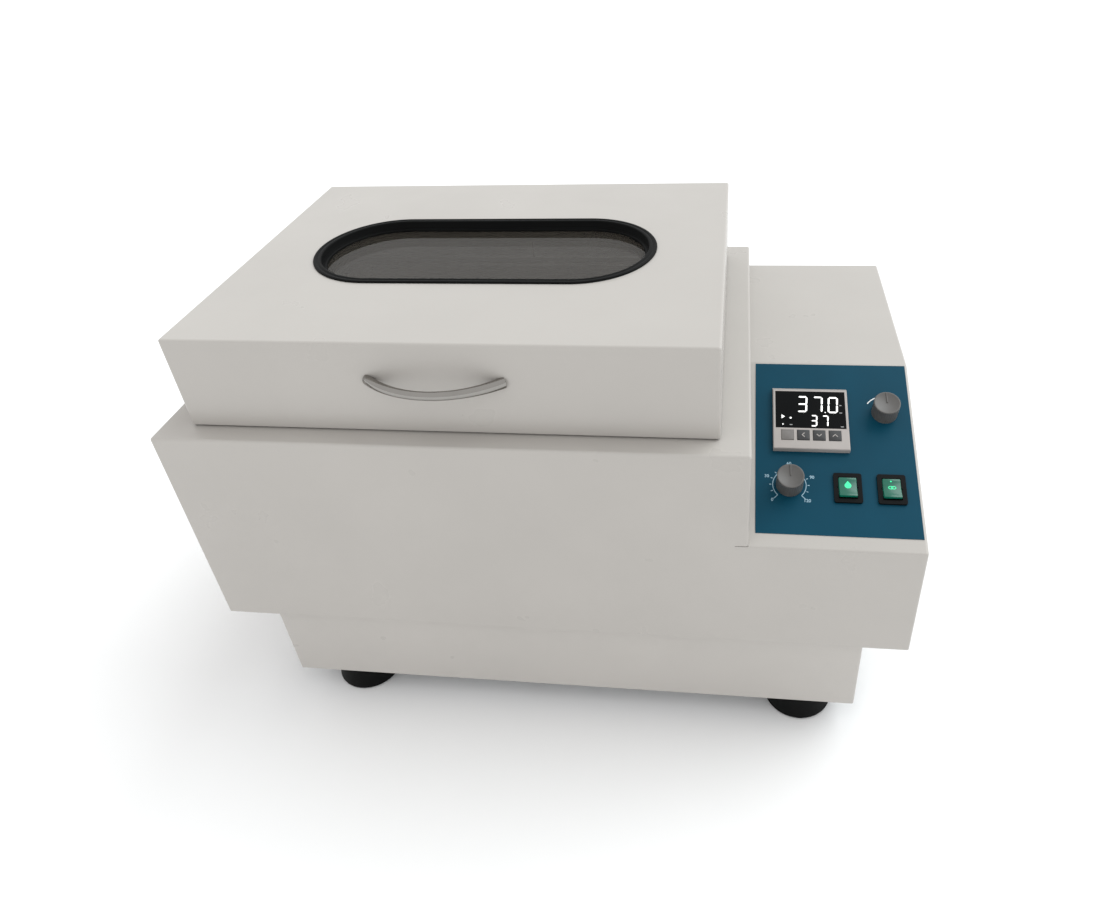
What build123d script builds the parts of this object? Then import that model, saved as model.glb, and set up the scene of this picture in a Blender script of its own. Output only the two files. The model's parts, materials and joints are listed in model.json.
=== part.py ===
from build123d import *
import math
import os

# Shaking water bath: a heated tank with an orbiting tray, a hinged lid and a control console.
# Millimetres. Origin at the centre of the footprint on the bench, X to the right, Y to the rear, Z up.

# Casing: folded steel sheet
sheet = 1.5
fold_radius = 2.5
edge_margin = 1.0
overcut = 1.0
case_width = 700.0
case_depth = 422.0
bay_height = 229.6
lip_height = 127.3
console_angle = 22.0
rear_flange = 14.0
panel_inset = 3.0
relief_slit_length = 12.0
relief_slit_height = 0.8
floor_lip_gap = 1.0

# Plinth and feet
plinth_height = 97.4
plinth_left_inset = 49.6
plinth_right_inset = 41.6
plinth_front_inset = 7.0
plinth_flange = 20.0
bottom_plate_thickness = 2.0
foot_height = 29.6
foot_radius = 35.4
foot_top_radius = 31.5
foot_edge_radius = 4.0
foot_left_inset = 65.4
foot_right_inset = 54.9
foot_end_inset = 32.7
foot_bolt_radius = 4.0
foot_bolt_head_radius = 6.5
foot_bolt_head_height = 5.0
foot_bolt_seat = 14.0
foot_bolt_well_radius = 9.1
foot_nut_height = 6.0
foot_bolt_tip = 1.0

# Screws, all one size
screw_radius = 2.0
screw_length = 8.0
screw_head_radius = 3.8
screw_head_height = 2.4
screw_clearance = 0.15
screw_slot_width = 0.9
screw_slot_length = 5.0
screw_slot_depth = 1.2

# Tank
tank_side_margin = 22.65
tank_end_margin = 31.65
tank_floor_height = 40.6
tank_wall = 1.0
tank_corner_radius = 25.0
tank_rim_margin = 3.0
deck_clearance = 1.0
riser_bore_radius = 23.0
riser_wall = 1.2
riser_height = 121.0
insulation_thickness = 30.0
insulation_gap = 0.3

# Heater, probe and drain
heater_radius = 4.5
heater_leg_margin = 80.0
heater_bend_radius = 30.0
heater_end_gap = 27.0
heater_height = 12.0
heater_tail = 20.0
gland_bore_clearance = 0.05
gland_neck_radius = 8.0
gland_flange_radius = 11.0
gland_flange_thickness = 2.5
gland_nut_size = 11.0
gland_nut_height = 8.0
bushing_radius = 14.0
probe_radius = 3.0
probe_margin = 43.0
probe_length = 85.0
drain_radius = 8.0
drain_wall = 1.5
drain_margin = 45.0
drain_height = 13.0
drain_bend_radius = 16.0
drain_reach = 28.0
drain_drop = 22.0
drain_foam_gap = 1.0
valve_radius = 13.0
valve_length = 40.0
valve_socket = 10.0
valve_boss_radius = 7.2
valve_boss_reach = 1.0
valve_seat_offset = 8.0
spout_radius = 6.0
spout_bore_radius = 4.2
spout_length = 20.0
stem_radius = 4.0
lever_length = 44.0
lever_width = 9.0
lever_thickness = 3.0
lever_corner_radius = 4.0
lever_gap = 0.2
running_gap = 0.05

# Lid
lid_height = 90.0
lid_lift = 2.0
lid_left_margin = 31.2
lid_right_margin = 26.5
lid_front_margin = 21.3
lid_rear_margin = 27.4
lid_top_fold_radius = 2.4
lid_wall_gap = 16.5
liner_sheet = 1.0
liner_drop = 15.0
liner_rim_height = 3.0
liner_corner_radius = 12.0
seal_width = 12.0
seal_seat_gap = 0.1
window_side_margin = 67.35
window_end_margin = 110.05
gasket_lip_width = 8.0
gasket_lip_height = 2.0
gasket_overlap = 5.0
gasket_fit = 0.2
gasket_wall = 5.0
gasket_ledge = 6.0
gasket_grip = 2.4
glass_thickness = 5.0
glass_depth = 10.0
glass_fit = 0.3
glass_cover = 2.0
handle_span = 107.4
handle_bow = 22.5
handle_height = 55.0
handle_end_height = 11.0
handle_end_thickness = 9.0
handle_mid_height = 8.0
handle_mid_thickness = 7.4
handle_screw_depth = 5.0
handle_screw_room = 0.3

# Lid hinges
hinge_length = 60.0
hinge_side_margin = 92.65
hinge_barrel_radius = 4.0
hinge_pin_radius = 2.0
hinge_leaf = 1.5
hinge_leaf_width = 17.0
hinge_gap = 0.4
hinge_knuckle_gap = 0.3
hinge_screw_spacing = 40.0

# Control panel: places are measured from its lower left corner, across and up the slope
label_thickness = 0.5
label_left = 6.1
label_right_margin = 2.9
label_bottom = 14.0
label_top_margin = 2.4
control_headroom = 31.0
controller_size = 72.0
controller_x = 58.7
controller_switch_gap = 22.85
controller_proud = 6.0
bezel_edge_radius = 1.0
bezel_upper_chamfer = 4.8
controller_depth = 78.0
controller_flange = 2.5
controller_fit = 0.5
display_border = 2.55
display_height = 42.5
display_offset = 8.3
display_thickness = 1.2
display_fit = 0.1
key_width = 11.6
key_height = 11.4
key_pitch = 14.9
key_row_offset = -20.9
key_proud = 0.6
key_fit = 0.2
key_travel = 0.5
timer_x = 37.5
timer_s = 64.0
timer_knob_radius = 12.6
timer_body_size = 44.0
timer_body_depth = 40.0
speed_gap = 22.7
speed_right_margin = 27.0
speed_rise = 10.5
speed_knob_radius = 12.6
speed_body_radius = 12.0
speed_body_depth = 12.0
knob_height = 18.0
knob_gap = 0.6
knob_taper = 0.2
knob_recess_radius = 9.0
knob_recess_depth = 4.0
knob_edge_radius = 0.8
knob_mark_width = 1.2
knob_mark_height = 0.6
spindle_radius = 3.0
spindle_engagement = 8.0
bushing_neck_radius = 4.7
bushing_nut_size = 6.5
bushing_nut_height = 2.0
panel_hole_gap = 0.3
switch_pitch = 39.5
switch_s = 62.0
switch_width = 25.6
switch_height = 30.3
switch_proud = 2.2
switch_body_width = 22.0
switch_body_height = 26.0
switch_body_depth = 24.0
switch_well_width = 17.0
switch_well_height = 22.2
switch_well_depth = 8.0
switch_corner_radius = 2.0
rocker_width = 16.2
rocker_length = 20.0
rocker_pivot_depth = 1.4
rocker_tilt = 8.0
rocker_top = 3.4
rocker_waist = 2.0
rocker_shoulder = 0.4
rocker_heel_depth = 3.0
rocker_pin_radius = 1.5
rocker_pin_reach = 1.2

# Shaker drive
orbit_radius = 10.0
orbit_clearance = 2.8
housing_flange_thickness = 5.0
housing_flange_margin = 14.0
housing_height = 30.0
housing_wall = 6.0
housing_floor = 3.0
housing_screw_circle = 8.0
bearing_fit = 0.02
crank_shaft_radius = 6.0
crank_bearing_radius = 16.0
crank_bearing_width = 10.0
idler_shaft_radius = 5.0
idler_bearing_radius = 13.0
idler_bearing_width = 8.0
idler_spread_x = 110.0
idler_spread_y = 72.0
axial_gap = 0.3
crank_pulley_radius = 58.0
motor_pulley_radius = 18.0
pulley_rim = 4.0
pulley_rim_thickness = 2.0
pulley_groove = 10.0
belt_width = 9.4
belt_thickness = 2.5
belt_gap = 0.15
counterweight_inner_radius = 32.0
counterweight_thickness = 6.0
crank_windows = 4
crank_window_share = 0.6
crank_window_radius = 11.0
collar_height = 3.0
collar_margin = 3.0
idler_web_radius = 20.0
table_bearing_width = 12.0
table_crank_bearing_radius = 14.0
table_boss_wall = 5.0
table_boss_cap = 3.5
table_boss_lift = 1.0
table_thickness = 4.0
table_margin = 24.0
table_plate_drop = 5.0
column_radius = 10.0
column_flange_radius = 22.0
column_flange_thickness = 5.0
stud_radius = 4.0
stud_fit = 0.1
hub_wall = 1.5
hub_top_gap = 4.4
hub_top_thickness = 3.0
hub_flange_width = 24.0
tray_thickness = 1.2
tray_rim_height = 15.0
tray_side_gap = 8.0
tray_corner_radius = 20.0
tray_hub_gap = 0.3
tray_height = 43.4
tray_hole_radius = 6.0
tray_hole_pitch = 26.0
tray_hole_gap = 1.0
tray_hole_end_margin = 19.0
tray_hole_side_margin = 32.0
tray_knob_radius = 15.0
tray_knob_height = 16.0
tray_knob_cap = 5.4
tray_knob_edge_radius = 3.75
tray_knob_flutes = 6
tray_knob_flute_offset = 1.0
clip_radius = 40.0
clip_height = 42.0
clip_finger_width = 9.0
clip_thickness = 1.2
clip_flare = 5.0
clip_pitch = 90.0
clip_least_pitch = 85.0
clip_end_margin = 52.0
clip_side_margin = 47.0

# Motor and electronics
motor_console_offset = 45.0
motor_radius = 38.0
motor_length = 90.0
motor_cap_height = 10.0
motor_cap_radius = 34.0
motor_shaft_radius = 5.0
motor_shaft_engagement = 12.0
bracket_thickness = 4.0
bracket_bore_radius = 10.0
bracket_length = 90.0
bracket_gap = 6.0
bracket_foot = 16.0
bracket_clearance = 8.0
motor_hole_gap = 6.0
relay_width = 60.0
relay_depth = 48.0
relay_height = 26.0
relay_sink_height = 14.0
relay_fin_pitch = 6.0
relay_fin_thickness = 1.6
board_width = 80.0
board_depth = 60.0
board_thickness = 1.6
board_pillar_height = 8.0
board_pillar_radius = 3.0
board_margin = 6.0
board_block_height = 18.0
capacitor_share = 0.75
capacitor_height = 24.0
electronics_margin = 14.0
inlet_flange_width = 50.0
inlet_flange_height = 24.0
inlet_flange_thickness = 2.5
inlet_body_width = 28.0
inlet_body_height = 20.5
inlet_body_depth = 24.0
inlet_recess_width = 24.5
inlet_recess_height = 16.5
inlet_recess_depth = 17.0
inlet_pin_length = 10.0
inlet_pin_width = 2.0
inlet_pin_height = 4.0
inlet_pin_spread = 7.0
inlet_pin_rise = 2.0
inlet_height = 45.0
inlet_fit = 0.3
vent_length = 52.0
vent_height = 4.0
vent_pitch = 11.0
vent_rows = 8

# Control places on the panel, and the console that holds them
controller_body = controller_size - 2 * controller_flange
controller_s = switch_s + switch_height / 2 + controller_switch_gap + controller_size / 2
display_width = controller_size - 2 * display_border
speed_x = controller_x + controller_size / 2 + speed_gap + speed_knob_radius
speed_s = controller_s + speed_rise
shake_switch_x = speed_x
heat_switch_x = shake_switch_x - switch_pitch
console_width = speed_x + speed_right_margin
slope_length = controller_s + controller_size / 2 + control_headroom + label_top_margin

# Levels
plinth_z = foot_height
floor_z = plinth_z + plinth_height
deck_z = floor_z + bay_height
lip_z = floor_z + lip_height
slope_angle = math.radians(console_angle)
slope_rise = slope_length * math.sin(slope_angle)
console_top_z = lip_z + slope_rise
floor_top_z = floor_z + sheet
plate_top_z = plinth_z + bottom_plate_thickness
flange_top_z = deck_z + tank_wall
tank_floor_z = floor_z + tank_floor_height
tank_bottom_z = tank_floor_z - tank_wall
lid_z = deck_z + lid_lift
lid_top_z = lid_z + lid_height

# Plan places
left_x = -case_width / 2
right_x = case_width / 2
front_y = -case_depth / 2
rear_y = case_depth / 2
panel_y = rear_y - sheet
step_x = right_x - console_width
break_y = front_y + slope_length * math.cos(slope_angle)
plinth_left_x = left_x + plinth_left_inset
plinth_right_x = right_x - plinth_right_inset
plinth_front_y = front_y + plinth_front_inset
plinth_rear_y = rear_y - plinth_front_inset
lid_left_x = left_x + lid_left_margin
lid_right_x = step_x - lid_right_margin
lid_front_y = front_y + lid_front_margin
lid_rear_y = rear_y - lid_rear_margin
lid_width = lid_right_x - lid_left_x
lid_depth = lid_rear_y - lid_front_y
window_length = lid_width - 2 * window_side_margin
window_width = lid_depth - 2 * window_end_margin
tank_x = (lid_left_x + lid_right_x) / 2
tank_y = (lid_front_y + lid_rear_y) / 2
tank_length = lid_width - 2 * tank_side_margin
tank_width = lid_depth - 2 * tank_end_margin
tank_left_x = tank_x - tank_length / 2
tank_right_x = tank_x + tank_length / 2
heater_leg_offset = tank_width / 2 - heater_leg_margin
probe_offset = tank_width / 2 - probe_margin
drain_offset = tank_width / 2 - drain_margin
motor_x = step_x + motor_console_offset
motor_y = tank_y
orbit_x = tank_x + orbit_radius
orbit_y = tank_y
panel_plane = Plane(
    origin=(step_x, front_y, lip_z),
    x_dir=(1, 0, 0),
    z_dir=(0, -math.sin(slope_angle), math.cos(slope_angle)),
)

os.makedirs("parts", exist_ok=True)


def block(x0, x1, y0, y1, z0, z1, mode=Mode.ADD):
    """A box between its six faces."""
    with Locations(((x0 + x1) / 2, (y0 + y1) / 2, (z0 + z1) / 2)):
        Box(x1 - x0, y1 - y0, z1 - z0, mode=mode)


def disc(x, y, radius, z0, z1, mode=Mode.ADD):
    """An upright cylinder from z0 to z1."""
    with Locations((x, y, (z0 + z1) / 2)):
        Cylinder(radius, z1 - z0, mode=mode)


def rod(start, direction, radius, length, mode=Mode.ADD):
    """A cylinder that grows from a point along a direction."""
    with Locations(Plane(origin=start, z_dir=direction)):
        Cylinder(radius, length, align=(Align.CENTER, Align.CENTER, Align.MIN), mode=mode)


def rounded_slab(x, y, length, width, corner, z0, z1, mode=Mode.ADD):
    """A flat slab with rounded corners, centred on a place."""
    with BuildSketch(Plane.XY.offset(z0)) as outline:
        with Locations((x, y)):
            RectangleRounded(length, width, corner)
    extrude(outline.sketch, amount=z1 - z0, mode=mode)


def stadium_slab(length, width, z0, z1, mode=Mode.ADD):
    """A slab with round ends, centred on the lid."""
    with BuildSketch(Plane.XY.offset(z0)) as outline:
        with Locations((tank_x, tank_y)):
            SlotOverall(length, width)
    extrude(outline.sketch, amount=z1 - z0, mode=mode)


def stepped(place, out, distance):
    """A place moved along a direction."""
    return tuple(start + distance * step for start, step in zip(place, out))


def pan_screws(seats, out):
    """Pan-head screws: each head stands on its seat and the shank runs the other way."""
    grow = (Align.CENTER, Align.CENTER, Align.MIN)
    sink = (Align.CENTER, Align.CENTER, Align.MAX)
    with Locations(*[Plane(origin=seat, z_dir=out) for seat in seats]):
        Cylinder(screw_head_radius, screw_head_height, align=grow)
        Cylinder(screw_radius, screw_length, align=sink)
    with Locations(*[Plane(origin=stepped(seat, out, screw_head_height), z_dir=out) for seat in seats]):
        Box(screw_slot_length, screw_slot_width, screw_slot_depth, align=sink, mode=Mode.SUBTRACT)
        Box(screw_slot_width, screw_slot_length, screw_slot_depth, align=sink, mode=Mode.SUBTRACT)


def screw_holes(seats, out):
    """Clearance holes for pan-head screws, through whatever they pass."""
    length = 2 * screw_length
    with Locations(*[Plane(origin=seat, z_dir=out) for seat in seats]):
        Cylinder(screw_radius + screw_clearance, length, mode=Mode.SUBTRACT)


def save(sub_part, name):
    """Label one finished sub-part and write it."""
    sub_part.part.label = name
    export_step(sub_part.part, f"parts/{name}.step")


# Fastener places
UP = (0, 0, 1)
DOWN = (0, 0, -1)
BACK = (0, 1, 0)
FRONT = (0, -1, 0)
flange_mid = panel_inset + rear_flange / 2
rear_screws = []
for screw_x in (left_x + flange_mid, step_x - flange_mid):
    for screw_z in (deck_z - flange_mid, (deck_z + floor_z) / 2, floor_z + 2 * flange_mid):
        rear_screws.append((screw_x, rear_y, screw_z))
for screw_z in (console_top_z - flange_mid, floor_z + 2 * flange_mid):
    rear_screws.append((right_x - flange_mid, rear_y, screw_z))

plinth_x = (plinth_left_x + plinth_right_x) / 2
plinth_y = (plinth_front_y + plinth_rear_y) / 2
plinth_screws = []
for screw_x in (plinth_left_x + plinth_flange, plinth_x, plinth_right_x - plinth_flange):
    for screw_y in (plinth_front_y + plinth_flange / 2, plinth_rear_y - plinth_flange / 2):
        plinth_screws.append((screw_x, screw_y, floor_z - sheet))
plate_screws = [(x, y, plinth_z) for x, y, z in plinth_screws]

foot_places = []
for foot_x in (plinth_left_x + foot_left_inset, plinth_right_x - foot_right_inset):
    for foot_y in (plinth_front_y + foot_end_inset, plinth_rear_y - foot_end_inset):
        foot_places.append((foot_x, foot_y))

idler_places = {
    "idler_crank_front": (tank_x - idler_spread_x, tank_y - idler_spread_y),
    "idler_crank_rear": (tank_x - idler_spread_x, tank_y + idler_spread_y),
    "idler_crank_right": (tank_x + idler_spread_x, tank_y),
}
crank_flange_radius = crank_bearing_radius + housing_wall + housing_flange_margin
idler_flange_radius = idler_bearing_radius + housing_wall + housing_flange_margin


def housing_screw_places(x, y, flange_radius):
    """Three screws round one bearing housing."""
    circle = flange_radius - housing_screw_circle
    angles = [math.radians(90 + 120 * turn) for turn in range(3)]
    return [(x + circle * math.cos(a), y + circle * math.sin(a), plinth_z) for a in angles]


housing_screws = housing_screw_places(tank_x, tank_y, crank_flange_radius)
for place in idler_places.values():
    housing_screws += housing_screw_places(place[0], place[1], idler_flange_radius)

bracket_half = motor_radius + bracket_gap + bracket_thickness
bracket_foot_y = bracket_half + bracket_foot / 2
bracket_screws = []
for side in (-1, 1):
    for end in (-1, 1):
        bracket_screws.append((motor_x + end * bracket_length / 3, motor_y + side * bracket_foot_y, plinth_z))

hinge_y = lid_rear_y + hinge_leaf + hinge_barrel_radius - hinge_gap
hinge_z = deck_z + hinge_barrel_radius + hinge_gap
hinge_places = [lid_left_x + hinge_side_margin, lid_right_x - hinge_side_margin]
leaf_start = hinge_barrel_radius + hinge_gap
leaf_mid = (leaf_start + hinge_leaf_width) / 2
deck_screws = []
lid_hinge_screws = []
for hinge_x in hinge_places:
    for side in (-1, 1):
        screw_x = hinge_x + side * hinge_screw_spacing / 2
        deck_screws.append((screw_x, hinge_y + leaf_mid, deck_z + hinge_leaf))
        lid_hinge_screws.append((screw_x, lid_rear_y + hinge_leaf, hinge_z + leaf_mid))

handle_z = deck_z + handle_height
handle_screws = [(tank_x + side * handle_span / 2, lid_front_y + sheet, handle_z) for side in (-1, 1)]


# Casing
def console_profile(inset, rear):
    """The console's side view as points in (y, z), moved inwards by a wall thickness."""
    front = front_y + inset
    lip = lip_z + inset * math.tan(slope_angle) - inset / math.cos(slope_angle)
    top = console_top_z - inset
    bend = front + (top - lip) / math.tan(slope_angle)
    return [(front, floor_z), (front, lip), (bend, top), (rear, top), (rear, floor_z)]


def panel_holes(mode):
    """The panel's cut-outs in a sketch: the controller, the two switches and the two dials."""
    controller_hole = controller_body + 2 * controller_fit
    with Locations((controller_x, controller_s)):
        Rectangle(controller_hole, controller_hole, mode=mode)
    with Locations((heat_switch_x, switch_s), (shake_switch_x, switch_s)):
        Rectangle(switch_body_width + 2 * panel_hole_gap, switch_body_height + 2 * panel_hole_gap, mode=mode)
    with Locations((timer_x, timer_s), (speed_x, speed_s)):
        Circle(bushing_neck_radius + panel_hole_gap, mode=mode)


with BuildPart() as console_hull:
    with BuildSketch(Plane.YZ.offset(step_x - fold_radius)):
        with BuildLine():
            Polyline(*console_profile(0, panel_y), close=True)
        make_face()
    extrude(amount=right_x - step_x + fold_radius)
    right_edges = console_hull.faces().sort_by(Axis.X)[-1].edges()
    lip_edges = console_hull.edges().filter_by(Axis.X).filter_by_position(Axis.Z, lip_z, console_top_z)
    fold_edges = right_edges.filter_by(lambda edge: edge.center().Z > floor_z + edge_margin)
    fold_edges = fold_edges.filter_by(lambda edge: edge.center().Y < panel_y - edge_margin)
    fold_edges += lip_edges.filter_by(lambda edge: edge.center().Y < panel_y - edge_margin)
    fillet(fold_edges, fold_radius)

tank_hole_gap = tank_wall + deck_clearance
floor_seat_z = floor_z - sheet
with BuildPart() as main_casing:
    block(left_x, step_x, front_y, panel_y, floor_z, deck_z)
    fillet(main_casing.edges().filter_by(Axis.Z).group_by(Axis.Y)[0], fold_radius)
    top_edges = main_casing.faces().sort_by(Axis.Z)[-1].edges()
    fillet(top_edges.filter_by(lambda edge: edge.center().Y < panel_y - edge_margin), fold_radius)
    add(console_hull.part)
    block(left_x + sheet, step_x - sheet, front_y + sheet, panel_y - sheet, floor_z, deck_z - sheet,
          Mode.SUBTRACT)
    with BuildSketch(Plane.YZ.offset(step_x)):
        with BuildLine():
            Polyline(*console_profile(sheet, panel_y - sheet), close=True)
        make_face()
    extrude(amount=console_width - sheet, mode=Mode.SUBTRACT)
    # Openings at the rear, inside the return flanges, and a seat for the floor
    rear_cut = (panel_y - 2 * sheet, panel_y + sheet)
    rear_return = sheet + rear_flange
    block(left_x + rear_return, step_x - rear_return, *rear_cut, floor_z, deck_z - rear_return, Mode.SUBTRACT)
    block(step_x, right_x - rear_return, *rear_cut, floor_z, console_top_z - rear_return, Mode.SUBTRACT)
    block(left_x + sheet, right_x - sheet, front_y + sheet, panel_y + sheet,
          floor_seat_z, floor_top_z, Mode.SUBTRACT)
    # Deck opening for the tank
    deck_length = tank_length + 2 * tank_hole_gap
    deck_width = tank_width + 2 * tank_hole_gap
    deck_corner = tank_corner_radius + tank_hole_gap
    rounded_slab(tank_x, tank_y, deck_length, deck_width, deck_corner, deck_z - 2 * sheet, deck_z + sheet,
                 Mode.SUBTRACT)
    # Holes in the partition for the heater and probe leads
    lead_z = tank_floor_z + heater_height
    for lead_y in (tank_y - heater_leg_offset, tank_y + heater_leg_offset, tank_y + probe_offset):
        rod((step_x - 2 * sheet, lead_y, lead_z), (1, 0, 0), bushing_radius, 3 * sheet, Mode.SUBTRACT)
    # Relief slit where the front fold ends at the inner corner
    slit = relief_slit_height / 2
    slit_y = (front_y - sheet, front_y + 2 * sheet)
    block(step_x - relief_slit_length, step_x, *slit_y, lip_z - slit, lip_z + slit, Mode.SUBTRACT)
    screw_holes(rear_screws, BACK)
    screw_holes(deck_screws, UP)
    # Control panel cut-outs
    cut = 4 * sheet
    with BuildSketch(panel_plane.offset(cut / 2)):
        panel_holes(Mode.ADD)
    extrude(amount=-cut, mode=Mode.SUBTRACT)
save(main_casing, "main_casing")

with BuildPart() as console_label:
    with BuildSketch(panel_plane):
        label_width = console_width - label_left - label_right_margin
        label_height = slope_length - label_bottom - label_top_margin
        with Locations((label_left, label_bottom)):
            Rectangle(label_width, label_height, align=(Align.MIN, Align.MIN))
        panel_holes(Mode.SUBTRACT)
    extrude(amount=label_thickness)
save(console_label, "console_label")

inlet_x = (step_x + right_x) / 2
inlet_z = floor_z + inlet_height
with BuildPart() as rear_panel:
    panel_floor_z = floor_top_z + panel_inset
    block(left_x + panel_inset, step_x - panel_inset, panel_y, rear_y, panel_floor_z, deck_z - panel_inset)
    block(step_x - 2 * panel_inset, right_x - panel_inset, panel_y, rear_y,
          panel_floor_z, console_top_z - panel_inset)
    through = (panel_y - sheet, rear_y + sheet)
    for row in range(vent_rows):
        vent_z = console_top_z - rear_return - vent_pitch * (row + 1)
        vent_side = vent_length / 2
        block(inlet_x - vent_side, inlet_x + vent_side, *through, vent_z, vent_z + vent_height, Mode.SUBTRACT)
    hole_x = inlet_body_width / 2 + inlet_fit
    hole_z = inlet_body_height / 2 + inlet_fit
    block(inlet_x - hole_x, inlet_x + hole_x, *through, inlet_z - hole_z, inlet_z + hole_z, Mode.SUBTRACT)
    screw_holes(rear_screws, BACK)
save(rear_panel, "rear_panel")

drain_y = tank_y + drain_offset
drain_z = tank_floor_z + drain_height
drain_x = tank_left_x - tank_wall - drain_reach
with BuildPart() as casing_floor:
    block(left_x + sheet, right_x - sheet, front_y + sheet, panel_y, floor_z, floor_top_z)
    lip_gap = rear_return + floor_lip_gap
    lip_edge = (panel_y - sheet, panel_y)
    block(left_x + lip_gap, step_x - lip_gap, *lip_edge, floor_z, floor_z + rear_flange)
    block(step_x + floor_lip_gap, right_x - lip_gap, *lip_edge, floor_z, floor_z + rear_flange)
    below = floor_z - sheet
    above = floor_top_z + sheet
    disc(tank_x, tank_y, riser_bore_radius, below, above, Mode.SUBTRACT)
    disc(motor_x, motor_y, motor_radius + motor_hole_gap, below, above, Mode.SUBTRACT)
    disc(drain_x, drain_y, drain_radius + panel_hole_gap, below, above, Mode.SUBTRACT)
    screw_holes(plinth_screws, DOWN)
save(casing_floor, "casing_floor")


# Plinth
with BuildPart() as base_frame:
    block(plinth_left_x, plinth_right_x, plinth_front_y, plinth_rear_y, plinth_z, floor_z)
    fillet(base_frame.edges().filter_by(Axis.Z), fold_radius)
    block(plinth_left_x + sheet, plinth_right_x - sheet, plinth_front_y + sheet, plinth_rear_y - sheet,
          plinth_z, floor_z, Mode.SUBTRACT)
    with BuildSketch(Plane.XY.offset(floor_z - sheet), Plane.XY.offset(plate_top_z)):
        with Locations((plinth_x, plinth_y)):
            ring_length = plinth_right_x - plinth_left_x - sheet
            ring_width = plinth_rear_y - plinth_front_y - sheet
            Rectangle(ring_length, ring_width)
            Rectangle(ring_length - 2 * plinth_flange, ring_width - 2 * plinth_flange, mode=Mode.SUBTRACT)
    extrude(amount=sheet)
    screw_holes(plinth_screws, DOWN)
    screw_holes(plate_screws, DOWN)
save(base_frame, "base_frame")

with BuildPart() as bottom_plate:
    edge = sheet + panel_hole_gap
    block(plinth_left_x + edge, plinth_right_x - edge, plinth_front_y + edge, plinth_rear_y - edge,
          plinth_z, plate_top_z)
    for foot_x, foot_y in foot_places:
        disc(foot_x, foot_y, foot_bolt_radius + screw_clearance, plinth_z - overcut, plate_top_z + overcut,
             Mode.SUBTRACT)
    screw_holes(plate_screws + housing_screws + bracket_screws, DOWN)
save(bottom_plate, "bottom_plate")

with BuildPart() as feet:
    for foot_x, foot_y in foot_places:
        with BuildSketch(Plane.XZ.offset(-foot_y)):
            with BuildLine():
                Line((foot_x, 0), (foot_x + foot_radius - foot_edge_radius, 0))
                RadiusArc((foot_x + foot_radius - foot_edge_radius, 0),
                          (foot_x + foot_radius, foot_edge_radius), -foot_edge_radius)
                Line((foot_x + foot_radius, foot_edge_radius), (foot_x + foot_top_radius, foot_height))
                Polyline((foot_x + foot_top_radius, foot_height), (foot_x, foot_height), (foot_x, 0))
            make_face()
        revolve(axis=Axis((foot_x, foot_y, 0), (0, 0, 1)))
        disc(foot_x, foot_y, foot_bolt_radius + screw_clearance, -overcut, foot_height + overcut,
             Mode.SUBTRACT)
        disc(foot_x, foot_y, foot_bolt_well_radius, -overcut, foot_bolt_seat, Mode.SUBTRACT)
save(feet, "feet")

with BuildPart() as foot_bolts:
    for foot_x, foot_y in foot_places:
        disc(foot_x, foot_y, foot_bolt_head_radius, foot_bolt_seat - foot_bolt_head_height, foot_bolt_seat)
        disc(foot_x, foot_y, foot_bolt_radius, foot_bolt_seat, plate_top_z + foot_nut_height + foot_bolt_tip)
        with BuildSketch(Plane.XY.offset(plate_top_z)):
            with Locations((foot_x, foot_y)):
                RegularPolygon(foot_bolt_head_radius, 6, major_radius=False)
        extrude(amount=foot_nut_height)
save(foot_bolts, "foot_bolts")

with BuildPart() as case_screws:
    pan_screws(rear_screws, BACK)
    pan_screws(deck_screws, UP)
    pan_screws(plinth_screws + plate_screws + housing_screws + bracket_screws, DOWN)
save(case_screws, "case_screws")

# Tank, with its riser and drain pipe welded on
with BuildPart() as water_tank:
    outer_length = tank_length + 2 * tank_wall
    outer_width = tank_width + 2 * tank_wall
    outer_corner = tank_corner_radius + tank_wall
    rounded_slab(tank_x, tank_y, outer_length, outer_width, outer_corner, tank_bottom_z, deck_z)
    rounded_slab(tank_x, tank_y, lid_width - 2 * tank_rim_margin, lid_depth - 2 * tank_rim_margin,
                 tank_corner_radius, deck_z, flange_top_z)
    rounded_slab(tank_x, tank_y, tank_length, tank_width, tank_corner_radius,
                 tank_floor_z, flange_top_z, Mode.SUBTRACT)
    riser_top_z = tank_floor_z + riser_height
    disc(tank_x, tank_y, riser_bore_radius + riser_wall, tank_bottom_z, riser_top_z)
    disc(tank_x, tank_y, riser_bore_radius, tank_bottom_z - overcut, riser_top_z + overcut, Mode.SUBTRACT)
    for lead_y in (tank_y - heater_leg_offset, tank_y + heater_leg_offset, tank_y + probe_offset):
        rod((tank_right_x - tank_wall, lead_y, lead_z), (1, 0, 0), gland_neck_radius + gland_bore_clearance,
            3 * tank_wall, Mode.SUBTRACT)
    with BuildLine() as drain_route:
        FilletPolyline(
            (tank_left_x - tank_wall / 2, drain_y, drain_z),
            (drain_x, drain_y, drain_z),
            (drain_x, drain_y, floor_z - drain_drop),
            radius=drain_bend_radius,
        )
    drain_start = Plane(origin=(tank_left_x - tank_wall / 2, drain_y, drain_z), z_dir=(-1, 0, 0))
    with BuildSketch(drain_start):
        Circle(drain_radius)
    sweep(path=drain_route.wires()[0])
    with BuildSketch(drain_start):
        Circle(drain_radius - drain_wall)
    sweep(path=drain_route.wires()[0], mode=Mode.SUBTRACT)
    rod((tank_left_x + tank_wall, drain_y, drain_z), (-1, 0, 0), drain_radius - drain_wall,
        3 * tank_wall, Mode.SUBTRACT)
save(water_tank, "water_tank")

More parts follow.
